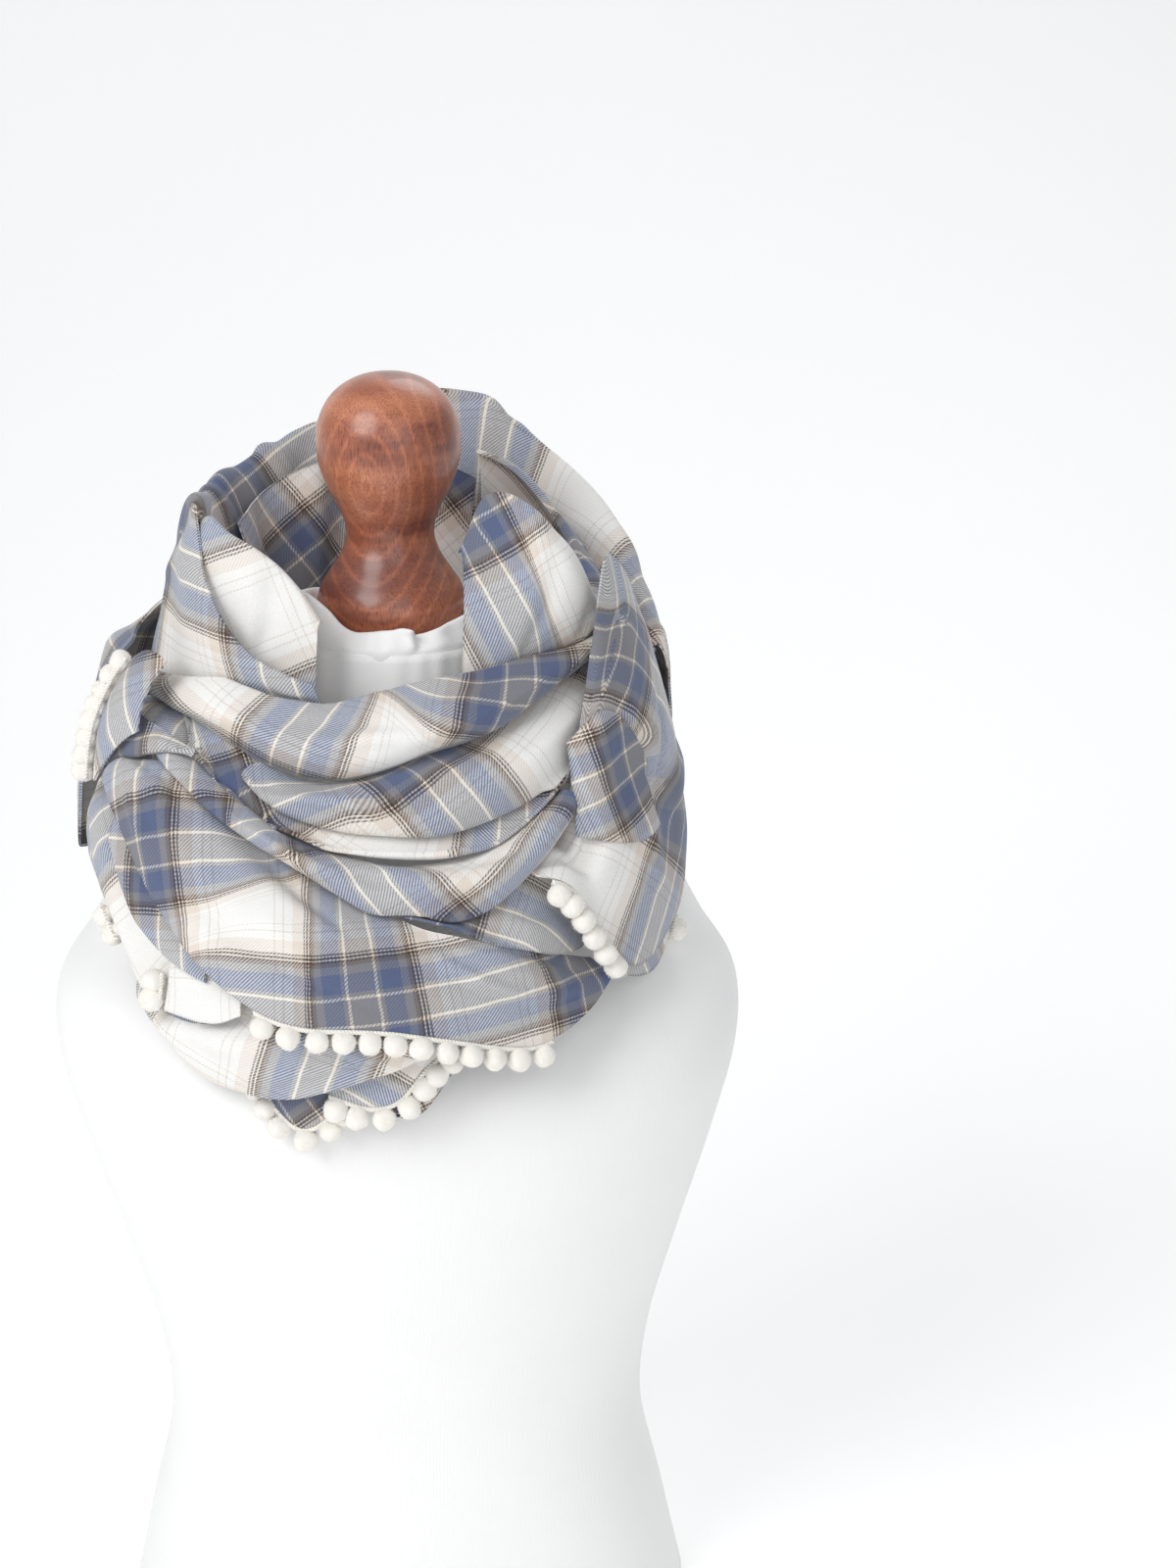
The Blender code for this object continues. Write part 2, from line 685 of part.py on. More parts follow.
def torso(finish, home):
    """The limbless body and neck, lofted through its rings, flat at its foot."""
    faces = []
    for i in range(FORM_RINGS):
        for k in range(FORM_SIDES):
            m = (k + 1) % FORM_SIDES
            a, b = i * FORM_SIDES, (i + 1) * FORM_SIDES
            faces.append((a + k, a + m, b + m, b + k))
    top = FORM_RINGS * FORM_SIDES
    faces += [range(FORM_SIDES)[::-1], range(top, top + FORM_SIDES)]
    add("form_body", mesh_from("form_body", form_rings(0).reshape(-1, 3), faces), finish, home)


def ruffle(finish, home):
    """The gathered top edge of the cover, a soft ring round the foot of the knob."""
    table = np.array(RUFFLE, float)
    turns = np.linspace(-180, 180, RUFFLE_SIDES, endpoint=False)
    heights = spline(table[:, 0], table[:, 1:], turns)[:, 0]
    middle = (RUFFLE_INNER + RUFFLE_OUTER) / 2
    points = []
    for turn, high in zip(turns, heights):
        ring = [
            (RUFFLE_INNER, SEAM), (RUFFLE_INNER, high - 3), (middle - 2, high), (middle + 1, high - 0.5),
            (RUFFLE_OUTER - 1, high - 4), (RUFFLE_OUTER, SEAM),
        ]
        a = math.radians(turn)
        points += [np.array([r * math.sin(a), -r * math.cos(a), NECK_TOP + z]) for r, z in ring]
    n, faces = len(ring), []
    for i in range(RUFFLE_SIDES):
        for k in range(n):
            a, b, c = i * n, (i + 1) % RUFFLE_SIDES * n, (k + 1) % n
            faces.append((a + k, a + c, b + c, b + k))
    add("cover_ruffle", mesh_from("cover_ruffle", np.array(points), faces), finish, home)


def finial(finish, home):
    """The turned knob on the neck: a profile and a Screw modifier."""
    bm = bmesh.new()
    outline = [(0, FINIAL_TALL)] + [(r, h) for h, r in reversed(FINIAL)] + [(0, 0)]
    verts = [bm.verts.new((r * MM, 0, (NECK_TOP + h) * MM)) for r, h in outline]
    for a, b in zip(verts, verts[1:]):
        bm.edges.new((a, b))
    mesh = bpy.data.meshes.new("finial")
    bm.to_mesh(mesh)
    bm.free()
    made = add("finial", mesh, finish, home)
    turned = made.modifiers.new("turned", "SCREW")
    turned.steps = turned.render_steps = FINIAL_STEPS
    turned.use_merge_vertices = True
    turned.merge_threshold = 0.0001


def main():
    for old in list(bpy.data.objects):
        bpy.data.objects.remove(old)
    home = bpy.data.collections.new("Triangle scarf on a dress form")
    bpy.context.scene.collection.children.link(home)
    flannel = material("flannel", (0.70, 0.66, 0.60), 0.9)
    trim = material("trim", (0.85, 0.82, 0.74), 0.9)
    jersey = material("jersey", (0.80, 0.79, 0.76), 0.9)
    wood = material("wood", (0.28, 0.10, 0.05), 0.3)
    torso(jersey, home)
    ruffle(jersey, home)
    finial(wood, home)
    rings = form_rings(WALL / 2 + 2 * SEAM - LAY)
    laid = [np.concatenate([rings, rings[:, :1]], axis=1)]
    for name, stretch in STRETCHES.items():
        grid = settle(surface(stretch), laid)
        laid.append(grid)
        cloth(name, grid, flannel, home)
        for braid_name, plan in BRAIDS.items():
            if plan.stretch == name:
                braid(braid_name, grid, plan, trim, home)


main()
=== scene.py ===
"""The looks of a checked flannel triangle scarf with a pompom edge, wound round a limbless dress form.

Each stretch of the winding is rebuilt from its own table of sections, laid on those beneath it, given
finer points and creases, and worked out flat so that the check runs true over its folds. Lengths in the
tables are millimetres and angles are degrees. Turn 0 is the front (-Y), 90 is the wearer's left (+X),
and 180 is the back.
"""

import math
from collections import namedtuple
from functools import lru_cache

import bmesh
import bpy
import numpy as np
from bpy.props import FloatProperty, FloatVectorProperty, PointerProperty
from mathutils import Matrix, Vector
from mathutils.bvhtree import BVHTree


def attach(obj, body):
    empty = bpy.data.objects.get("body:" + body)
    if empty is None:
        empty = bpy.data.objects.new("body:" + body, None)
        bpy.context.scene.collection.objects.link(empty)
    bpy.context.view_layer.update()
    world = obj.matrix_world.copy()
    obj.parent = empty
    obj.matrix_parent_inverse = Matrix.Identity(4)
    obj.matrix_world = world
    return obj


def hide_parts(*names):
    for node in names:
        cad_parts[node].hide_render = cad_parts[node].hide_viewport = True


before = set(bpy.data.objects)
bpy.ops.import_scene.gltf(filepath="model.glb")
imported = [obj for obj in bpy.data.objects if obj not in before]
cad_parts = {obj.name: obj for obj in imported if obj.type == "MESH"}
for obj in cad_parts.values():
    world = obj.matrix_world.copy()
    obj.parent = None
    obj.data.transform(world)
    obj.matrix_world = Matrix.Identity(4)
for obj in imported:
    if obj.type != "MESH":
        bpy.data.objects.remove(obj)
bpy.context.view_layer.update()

bl_info = {
    "name": "Triangle scarf on a dress form",
    "version": (1, 0, 0),
    "blender": (4, 5, 0),
    "location": "View3D > Sidebar > Scarf",
    "description": "Builds a checked flannel triangle scarf wound round a dress form",
    "category": "Add Mesh",
}

MM = 0.001
WALL = 1.6
SEAM = 0.3
SHEET = 1.3

# Between the middles of two stretches that lie on one another
LAY = WALL + 0.9
LAY_PASSES = 40
LAY_REACH = 6.0
LAY_SHARE = 0.8
LAY_UPWARDS = 0.6
LAY_BENEATH = 0.7

# A whole section's length counts as much for a fold as these degrees of turn
FOLD_REACH = 60

# The fine cloth
CELL = 1.7
NORMAL_SOFTENINGS = 3
ROLL_ANGLES = (75, 150)
FLAT_STEPS = 900
BED_REACH = 4.0
BED_SOFTENINGS = (16, 10, 6)
BED_SLACK = 0.3
BED = SHEET + BED_SLACK
BED_STEEP = 0.5
FEWEST_CELLS = 12
RUMPLE_GRID = 64
RUMPLE_START = (20.3, 20.7)
RUMPLES = [
    # height, size, seed
    (0.8, 34, 0), (0.3, 13, 50),
]

# Shares of a crease's width and height: how it varies along its length, how it starts and ends, and
# the hollow beside it
CREASE_NARROWED = 0.8
CREASE_SWELL = 0.35
CREASE_UNEVEN = 0.25
CREASE_END = 0.07
CREASE_FADE = 0.7
HOLLOW_AWAY = 1.9
HOLLOW_WIDE = 1.3
HOLLOW_DEEP = 0.45

# A place in the picture is looked for within these pixels, and its slopes over these cells round it.
# The last number says how fast the hold of one such place falls off with distance.
NEAR_ENOUGH = 3
ROUND_IT = 3
CHECK_HOLDS = 6

# Lengths below this count as none
TINY = 1e-9

# The dress form
NECK_TOP = 540.0
NECK_RADIUS = 52.0
FORM_SIDES = 32
FORM_RINGS = 18
FORM_SQUARENESS = 0.9
FINIAL_TALL = 130.0

# The camera, as in the photograph
PICTURE_WIDE = 1200
PICTURE_TALL = 1600
CAMERA_TILT = 18
CAMERA_AWAY = 1700
CAMERA_COVERS = 800
CAMERA_AIM = (98.5, 0, 457.5)
SENSOR = 36

# The pompom braid
TAPE_RADIUS = 1.5
STRAND_RADIUS = 0.72
STRAND_APART = 0.75
STRAND_SIDES = 6
STRAND_STEPS = 14
STRAND_FLAT = 0.7
TWIST_PITCH = 3.4
TAPE_OUT = 0.7
EDGE_SOFTENINGS, WAY_OUT_SOFTENINGS = 6, 12
POMPOM_RADIUS = 6.0
POMPOM_SUNK = 0.8
POMPOM_ENDS = 420
POMPOM_SQUASH = 0.06
CORE_BELOW, ROOTS_BELOW = 0.2, 0.8
CORE_WAVES, CORE_WAVE_RATE, CORE_SWELL = 7, 2.4, 0.025
YARN_HALF_WIDTH = 0.16
YARN_LEAN = 0.35
YARN_ENDS_LONG = (1.1, 1.9)

# Fine points round the cover and round its gathered edge, up them, and round and up the knob
COVER_SIDES, COVER_LEVELS = 160, 150
EDGE_SIDES, EDGE_LEVELS = 420, 22
KNOB_SIDES, KNOB_LEVELS = 128, 120
GATHERS = 23
GATHER_DEPTH = 0.35
GATHER_FROM, GATHER_OVER = 505, 25
FRILL_WALL = 0.7

# The sweep of floor and backdrop, and the lights, in metres
FLOOR_HALF_WIDTH = 3.5
FLOOR_BELOW = 0.0005
FLOOR_STEPS = 90
SWEEP = [
    # how far back, how high
    (-2.6, 0), (0.4, 0), (1.3, 0.08), (2.0, 0.36), (2.5, 0.9), (2.75, 1.7), (2.8, 3.6),
]
LIGHTS = [
    # name, place, size, which power
    ("key_light", (-1.3, -1.5, 1.9), 1.6, "key_power"),
    ("fill_light", (0.6, -1.9, 1.2), 1.8, "fill_power"),
    ("back_light", (0.5, 1.2, 2.0), 1.2, "fill_power"),
]
LIT = (0, 0, 0.46)
DAYLIGHT = (0.95, 0.97, 1.0, 1)
DAYLIGHT_STRENGTH = 0.4

# A section runs from its head, the upper edge, over its crown to its foot, the lower edge.
Section = namedtuple("Section", "turn head_r head_z crown_r crown_z foot_r foot_z")

# A soft ridge (a trough where its height is below 0) between two places on a stretch. "down" is 0
# at the head and 1 at the foot; the width is in degrees round the neck.
Fold = namedtuple("Fold", "turn_a down_a turn_b down_b width height")

# A stretch's cells along and across, the radius of the roll at its head and at its foot (0 for a
# plain edge), its sections and its largest folds.
Stretch = namedtuple("Stretch", "along across head_roll foot_roll sections folds")


def stretch(along, across, head_roll, foot_roll, *rows, folds=()):
    """A stretch from its rows of turn, then radius and height of the head, the crown and the foot."""
    sections, main_folds = [Section(*row) for row in rows], [Fold(*fold) for fold in folds]
    return Stretch(along, across, head_roll, foot_roll, sections, main_folds)


# From the innermost to the outermost: each is laid over those before it.
STRETCHES = {
    "tip": stretch(
        4, 4, 0, 0,
        (-28, 127, 372, 132, 362, 134, 352), (-24, 127, 372, 134, 358, 136, 340),
        (-20, 127, 372, 135, 352, 137, 326), (-15, 127, 372, 135, 352, 137, 326),
        (-10, 128, 372, 134.8, 354, 136.3, 336), (-5, 128, 372, 132.8, 360, 135, 350),
    ),
    "under_back": stretch(
        4, 3, 0, 0,
        (-1, 130, 370, 135, 354, 136, 337), (3, 130, 370, 136, 354, 137, 333),
        (8, 130, 370, 136, 354, 137, 335), (12, 131, 374, 136, 362, 137, 347),
        (16, 132, 378, 136, 370, 137, 361),
    ),
    "under_front": stretch(
        6, 4, 0, 0,
        (-17, 135, 374, 140, 364, 142, 352), (-8, 135, 374, 141, 360, 144, 345),
        (-2, 135, 374, 141, 358, 144, 341), (3, 135, 376, 141, 360, 144, 345),
        (8, 135, 382, 140, 372, 143, 360), (13, 135, 388, 139, 380, 142, 370),
    ),
    "lower_fold": stretch(
        11, 5, 0, 2.5,
        (-56, 138, 396, 147, 386, 149, 374), (-46, 138, 398, 151, 380, 151, 362),
        (-38, 138, 400, 153, 374, 151, 350), (-28, 138, 402, 154, 374, 150, 346),
        (-18, 138, 402, 154, 376, 149, 346), (-8, 138, 402, 154, 378, 150, 354),
        (0, 138, 402, 153, 380, 151, 362), (8, 138, 402, 151, 384, 151, 371),
        (16, 138, 400, 148, 388, 149, 379),
        folds=[(-50, 0.9, -10, 0.35, 4, 3), (-40, 0.95, 6, 0.75, 3, -2.5)],
    ),
    "left_hang": stretch(
        11, 5, 0, 0,
        (-92, 134, 472, 151, 456, 155, 440), (-80, 136, 478, 153, 458, 156, 436),
        (-70, 138, 480, 154, 458, 157, 431), (-62, 139, 480, 154, 455, 157, 424),
        (-57, 140, 476, 153, 446, 156, 411), (-52, 140, 466, 152, 432, 155, 393),
        (-46, 140, 452, 152, 418, 154, 381), (-40, 140, 438, 152, 408, 154, 377),
        (-33, 140, 424, 152, 402, 154, 378), (-27, 140, 414, 150, 402, 153, 385),
        folds=[(-78, 0.1, -50, 0.95, 5, 3)],
    ),
    "left_flap": stretch(
        4, 3, 0, 0,
        (-41, 147, 410, 156, 397, 161, 382), (-36, 147, 406, 157, 395, 161, 382),
        (-30, 148, 402, 157, 394, 160, 382), (-25, 147, 400, 156, 396, 158, 388),
    ),
    "under_strip": stretch(
        6, 4, 0, 2.0,
        (-58, 146, 478, 154, 469, 158, 457), (-54, 146, 472, 155, 458, 159, 443),
        (-50, 146, 463, 156, 446, 160, 428), (-46, 146, 454, 156, 437, 160, 419),
        (-42, 146, 445, 156, 430, 160, 413), (-37, 146, 434, 156, 422, 160, 408),
        (-32, 146, 424, 154, 415, 159, 404),
    ),
    "drape": stretch(
        16, 6, 0, 0,
        (-60, 134, 490, 149, 494, 158, 486), (-56, 132, 490, 150, 496, 160, 480),
        (-50, 130, 492, 152, 494, 163, 466), (-44, 128, 488, 153, 485, 164, 449),
        (-37, 126, 480, 154, 470, 165, 428), (-30, 124, 470, 154, 455, 165, 410),
        (-22, 124, 458, 154, 440, 165, 396), (-15, 123, 448, 153, 430, 164, 390),
        (0, 124, 434, 151, 418, 161, 388), (8, 134, 428, 150, 412, 160, 384),
        (15, 139, 424, 150, 407, 158, 379), (30, 138, 413, 149, 396, 154, 370),
        (40, 136, 404, 146, 391, 150, 377), (49, 132, 396, 141, 392, 146, 389),
        folds=[(-52, 0.35, -8, 0.12, 4, -3), (-40, 0.55, -14, 0.75, 4, -3), (14, 0.05, 34, 0.5, 4, 3)],
    ),
    "swag_low": stretch(
        6, 4, 0, 0,
        (4, 120, 438, 127, 433, 130, 426), (15, 118, 440, 130, 430, 132, 414),
        (25, 117, 446, 131, 430, 133, 404), (35, 116, 450, 131, 430, 132, 400),
        (45, 116, 454, 129, 432, 130, 400), (52, 116, 456, 127, 436, 128, 408),
        folds=[(12, 0.9, 50, 0.45, 4, -3)],
    ),
    "right_under": stretch(
        4, 3, 0, 0,
        (53, 145, 416, 145, 401, 145, 387), (60, 146, 416, 146, 400, 146, 382),
        (68, 146, 418, 146, 402, 146, 386), (75, 146, 422, 146, 412, 146, 402),
    ),
    "right_fall": stretch(
        13, 9, 0, 0,
        (33, 117, 446, 129, 448, 135, 448), (38, 114, 454, 132, 452, 141, 445),
        (42, 116, 460, 135, 452, 146, 428), (46, 121, 465, 137, 453, 149, 412),
        (50, 129, 540, 139, 480, 150, 398), (54, 127, 580, 140, 498, 150, 394),
        (58, 126, 592, 141, 500, 150, 391), (64, 124, 590, 143, 495, 149, 395),
        (72, 124, 576, 144, 485, 149, 402), (82, 124, 558, 144, 480, 148, 412),
        (94, 122, 544, 142, 482, 147, 424), (112, 120, 540, 138, 490, 146, 432),
        folds=[(46, 0.5, 72, 0.62, 6, -9)],
    ),
    "swag_middle": stretch(
        18, 5, 0, 2.5,
        (-95, 113, 501, 123, 498, 125, 485), (-85, 114, 507, 127, 504, 129, 491),
        (-75, 115, 511, 129, 509, 132, 496), (-60, 116, 513, 132, 512, 136, 498),
        (-52, 116, 504, 135, 506, 138, 492), (-45, 116, 493, 136, 499, 139, 486),
        (-37, 115, 482, 136, 490, 139, 480), (-30, 114, 473, 135, 481, 138, 473),
        (-22, 113, 464, 135, 471, 137, 464), (-15, 113, 461, 135, 464, 136, 455),
        (0, 113, 454, 134, 456, 134, 436), (15, 113, 453, 134, 452, 133, 426),
        (30, 113, 461, 134, 461, 133, 446), (38, 114, 471, 133, 472, 132, 460),
        (45, 115, 480, 131, 482, 130, 473),
        folds=[(-20, 0.35, 14, 0.8, 4, -3)],
    ),
    "left_shade": stretch(
        4, 4, 0, 2.0,
        (-66, 138.3, 512, 147.3, 499, 151.3, 487), (-60, 137.3, 516, 145.3, 505, 148.3, 494),
        (-55, 137, 514, 142, 506, 145, 496), (-50, 133, 506, 137, 500, 140, 493),
        (-46, 126, 498, 129, 494, 132, 490),
    ),
    "fold_under": stretch(
        16, 4, 0, 1.5,
        (-66, 104, 521, 112, 514, 115, 510), (-56, 104, 519, 115, 509, 119, 506),
        (-46, 104, 517, 119, 504, 124, 503), (-37, 104, 503, 120, 490, 126, 489),
        (-30, 104, 492, 119, 479, 125, 476), (-15, 104, 479, 118, 466, 124, 464),
        (0, 104, 476, 117, 463, 123, 461), (15, 104, 475, 117, 462, 123, 460),
        (30, 104, 483, 117, 470, 122, 466), (38, 104, 490, 117, 477, 121, 474),
        (45, 104, 500, 117, 487, 121, 484), (57, 104, 512, 117, 499, 119, 495),
    ),
    "roll_second": stretch(
        15, 5, 0, 2.5,
        (-36, 101, 492, 112, 494, 116, 491), (-30, 99, 487, 116, 489, 120, 485),
        (-15, 97, 489, 117, 487, 119, 475), (0, 96, 494, 117, 490, 118, 472),
        (15, 96, 503, 117, 495, 118, 471), (30, 97, 510, 118, 501, 118, 477),
        (45, 99, 523, 118, 512, 118, 489), (58, 103, 533, 117, 524, 117, 505),
        (66, 104, 538, 115, 531, 115, 514),
        folds=[(-30, 0.7, 30, 0.35, 4, 2.5)],
    ),
    "inner_back": stretch(
        10, 4, 0, 0,
        (-209, 84, 600, 78, 574, 76, 546), (-190, 84, 610, 78, 578, 75, 542),
        (-165, 84, 614, 78, 576, 74, 540), (-145, 84, 608, 78, 572, 74, 537),
        (-125, 84, 596, 77, 566, 73, 534), (-108, 82, 588, 75, 562, 72, 534),
        folds=[(-150, 0, -140, 1, 6, -6), (-128, 0, -124, 1, 6, 4), (-196, 0, -204, 1, 6, -5)],
    ),
    "inner_left": stretch(
        6, 5, 2.0, 0,
        (-64, 101, 600, 105, 574, 100, 527), (-58, 101, 608, 106, 578, 100, 526),
        (-50, 98, 602, 103, 573, 97, 526), (-40, 86, 590, 91, 563, 90, 526),
        (-32, 80, 577, 84, 554, 85, 527), (-24, 77, 560, 79, 546, 81, 529),
    ),
    "inner_right": stretch(
        14, 5, 2.0, 0,
        (29, 79, 596, 84, 570, 80, 533), (34, 82, 616, 89, 582, 83, 533),
        (40, 89, 624, 97, 590, 87, 534), (47, 101, 616, 108, 582, 92, 536),
        (54, 112, 596, 114, 570, 97, 536), (61, 114, 576, 115, 560, 101, 538),
        (70, 108, 566, 112, 552, 102, 534), (90, 98, 572, 107, 558, 104, 530),
        (115, 92, 590, 100, 566, 100, 534), (140, 90, 608, 94, 578, 94, 540),
        (152, 90, 612, 92, 582, 91, 548),
        folds=[(33, 0, 30, 1, 4, -4), (43, 0.1, 40, 1, 4, 4)],
    ),
    "hood": stretch(
        30, 7, 0, 0,
        (-268, 126, 524, 134, 530, 139, 518), (-255, 118, 534, 132, 549, 140, 522),
        (-240, 106, 548, 129, 580, 139, 528), (-225, 100, 562, 123, 606, 136, 540),
        (-210, 96, 570, 117, 629, 132, 556), (-195, 94, 572, 113, 639, 128, 562),
        (-180, 92, 570, 110, 638, 125, 562), (-165, 90, 566, 109, 631, 124, 558),
        (-150, 88, 562, 107, 623, 122, 552), (-135, 86, 560, 106, 612, 121, 545),
        (-120, 85, 562, 104, 604, 121, 538), (-105, 86, 572, 101, 601, 121, 530),
        (-90, 89, 586, 101, 603, 121, 525), (-75, 95, 600, 103, 598, 117, 524),
        (-60, 104, 612, 112, 575, 109, 524), (-50, 109, 580, 110, 556, 102, 526),
        (-40, 107, 555, 105, 541, 95, 524), (-30, 101, 543, 98, 534, 90, 523),
        (-20, 95, 535, 91, 530, 85, 522),
        folds=[(-128, 0.1, -118, 0.5, 6, 5), (-150, 0, -158, 0.5, 6, -4), (-226, 0, -214, 0.5, 7, -5)],
    ),
    "roll_upper": stretch(
        20, 6, 3.0, 3.0,
        (-86, 116, 520, 123, 518, 121, 512), (-75, 115, 525, 124, 522, 122, 515),
        (-60, 111, 531, 122, 527, 121, 519), (-45, 101, 536, 118, 525, 114, 509),
        (-30, 95, 531, 114, 516, 110, 499), (-15, 90, 527, 112, 513, 108, 495),
        (0, 88, 532, 111, 518, 107, 500), (15, 88, 536, 111, 524, 107, 510),
        (30, 90, 539, 112, 529, 108, 516), (45, 98, 545, 115, 539, 111, 530),
        (58, 108, 549, 118, 546, 114, 540), (66, 110, 552, 118, 550, 115, 545),
        folds=[(-20, 0.6, 40, 0.25, 4, 2.5)],
    ),
    "right_strip": stretch(
        4, 6, 0, 0,
        (44, 127, 508, 131, 486, 134, 462), (47, 131, 520, 137, 491, 140, 459),
        (50, 132, 522, 139, 492, 142, 458), (54, 132, 520, 139, 488, 143, 455),
        (60, 132, 508, 140, 480, 144, 453), (65, 134, 492, 140, 474, 144, 456),
    ),
    "back_fall": stretch(
        20, 6, 0, 2.5,
        (-255, 140, 528, 147, 488, 142, 430), (-240, 138, 544, 148, 500, 138, 424),
        (-222, 135, 554, 146, 508, 124, 418), (-200, 130, 560, 143, 510, 108, 416),
        (-180, 128, 562, 141, 510, 102, 416), (-160, 127, 558, 142, 508, 106, 416),
        (-138, 127, 552, 147, 506, 126, 418), (-115, 128, 545, 153, 502, 148, 422),
        (-90, 128, 540, 153, 500, 161, 430), (-81, 129, 539, 152, 500, 160, 436),
        folds=[(-100, 0.3, -230, 0.45, 6, 4)],
    ),
    "left_front": stretch(
        5, 5, 0, 0,
        (-66, 133, 540, 149, 516, 157, 480), (-62, 130, 545, 148, 521, 155, 491),
        (-58, 128, 545, 144, 525, 149, 505), (-55, 127, 543, 139, 528, 144, 511),
    ),
}

# A braid runs along an edge of a stretch, between two places given as shares of that edge, with
# its pompoms spread evenly and lifted off the cloth around it.
Braid = namedtuple("Braid", "stretch edge start end pompoms lift")

BRAIDS = {
    "braid_front": Braid("drape", "foot", 0.42, 0.86, 12, 0),
    "braid_tip": Braid("tip", "foot", 0.06, 0.84, 6, 0),
    "braid_under": Braid("under_front", "foot", 0.20, 1.02, 7, 0),
    "braid_left": Braid("left_front", "first", 0.0, 1.0, 8, 4),
    "braid_left_low": Braid("left_hang", "foot", 0.44, 0.54, 2, 3.5),
    "braid_flap": Braid("left_flap", "first", 0.36, 1.0, 2, 3.8),
    "braid_right": Braid("right_fall", "foot", 0.03, 0.30, 6, 2),
    "braid_right_end": Braid("right_under", "foot", 0.80, 1.0, 1, 2.2),
}

TORSO = [
    # height, half width, half depth, how far the middle lies behind the neck
    (0, 150, 100, 8), (60, 137, 93, 8), (120, 126, 90, 8), (180, 136, 98, 4), (250, 156, 112, 0),
    (310, 172, 118, -5), (350, 177, 108, -1), (380, 160, 92, 9), (400, 149, 85, 14), (414, 143, 81, 18),
    (426, 128, 76, 20), (438, 104, 70, 18), (450, 84, 65, 14), (464, 69, 60, 9), (482, 59, 56, 4),
    (505, 53, 53, 0), (NECK_TOP - SEAM, NECK_RADIUS, NECK_RADIUS, 0),
]

# How the cover's loose top edge stands round the knob
FRILL = [
    # turn, height, how far it bulges, how far its edge leans outwards
    (-180, 13, 0.5, 0.5), (-160, 15, 1.0, 1.0), (-140, 12, -0.5, 0.0), (-120, 14, 0.8, 1.2),
    (-100, 17, -0.4, 0.6), (-84, 19, 1.0, 1.4), (-68, 21, -0.6, 0.4), (-54, 22, 0.8, 1.6),
    (-42, 17, -0.8, 0.4), (-30, 11, 0.6, 0.2), (-20, 8.5, 0.2, 0.0), (-8, 9.5, 0.4, 0.6),
    (4, 10.5, 0.5, 0.8), (11, 11.5, 1.0, 2.2), (15, 11.0, 1.6, 3.2), (18, 7.0, -1.2, -0.6),
    (23, 7.0, -0.8, -0.4), (32, 9.5, 0.6, 0.8), (44, 11.0, -0.2, 0.4), (58, 14, 0.8, 1.2),
    (76, 15, -0.6, 0.2), (94, 14, 0.7, 1.2), (114, 12, -0.5, 0.4), (136, 14, 0.8, 1.0),
    (158, 12, -0.4, 0.2), (180, 13, 0.5, 0.5),
]

# The cover's edge from its foot outside, over its top, to its foot inside
FRILL_PATH = [
    # radius, shares of the bulge, the ripple and the lean, then a height and a share of the edge's
    (51.0, 0, 0, 0, -3.5, 0), (51.4, 0, 0, 0, 1.0, 0), (50.2, 0.6, 1, 0, 0, 0.35), (47.4, 1, 1, 0, 0, 0.7),
    (44.6, 1, 1, 1, 0, 1), (43.2, 1, 1, 1, -0.6, 1), (42.4, 0.5, 0, 0, 0, 0.6), (40.5, 0, 0, 0, 1.0, 0),
]

FINIAL = [
    # height above the neck, radius
    (0, 29), (4, 34), (10, 36.5), (16, 37), (23, 35), (31, 30), (39, 25), (47, 22.3), (55, 22.5),
    (64, 26), (74, 31), (85, 34.8), (96, 36), (107, 34.5), (117, 29.5), (124, 22), (128.5, 12),
]

# Between two such places the one gives way to the other, as where small tucks take up some of the
# cloth.
Check = namedtuple("Check", "x y p q lean")

CHECKS = {
    "tip": [(302, 1135, 0, 20, 35)],
    "under_back": [(290, 1100, 20, 0, 20)],
    "under_front": [(385, 1115, 15, 59, 60)],
    "lower_fold": [(328, 1075, 0, 40, -22)],
    "left_hang": [(140, 960, 59, 59, 30)],
    "left_flap": [(200, 1030, 59, 59, 0)],
    "under_strip": [(172, 935, 0, 30, -6)],
    "drape": [(374, 1034, 0, 0, 8), (175, 868, 26, 0, 6), (250, 1022, -59, -7, 3)],
    "swag_low": [(500, 935, 0, 30, 75)],
    "right_under": [(655, 965, 10, 59, 20)],
    "right_fall": [(615, 658, 0, 0, 3), (612, 570, 0, -55, 3), (600, 880, 59, 50, None)],
    "swag_middle": [(382, 900, 0, 59, 37), (190, 757, 0, 59, None)],
    "left_shade": [(115, 775, 0, 0, 20)],
    "fold_under": [(400, 850, 59, 59, 60)],
    "roll_second": [(447, 787, 0, 26, 47), (300, 805, 59, 0, 15)],
    "inner_back": [(310, 590, 0, 0, 40)],
    "inner_left": [(262, 630, 59, 59, 25)],
    "inner_right": [(518, 620, 0, 50, 28), (590, 600, 50, 59, 20)],
    "hood": [(254, 507, 0, 0, 24), (182, 578, 59, 0, 0), (612, 492, 59, 59, None)],
    "roll_upper": [(294, 757, 0, -40, -28), (530, 703, 0, 0, -10)],
    "right_strip": [(632, 775, -14, -6, 12)],
    "back_fall": [(655, 600, 0, 59, 12), (100, 690, 20, 10, None)],
    "left_front": [(130, 720, 10, 50, 10)],
}

# A crease runs between two places on a stretch, bowed sideways at its middle. It is a soft ridge,
# or a trough where its height is below 0. Bow, width and height are millimetres.
Crease = namedtuple("Crease", "turn_a down_a turn_b down_b bow width height")

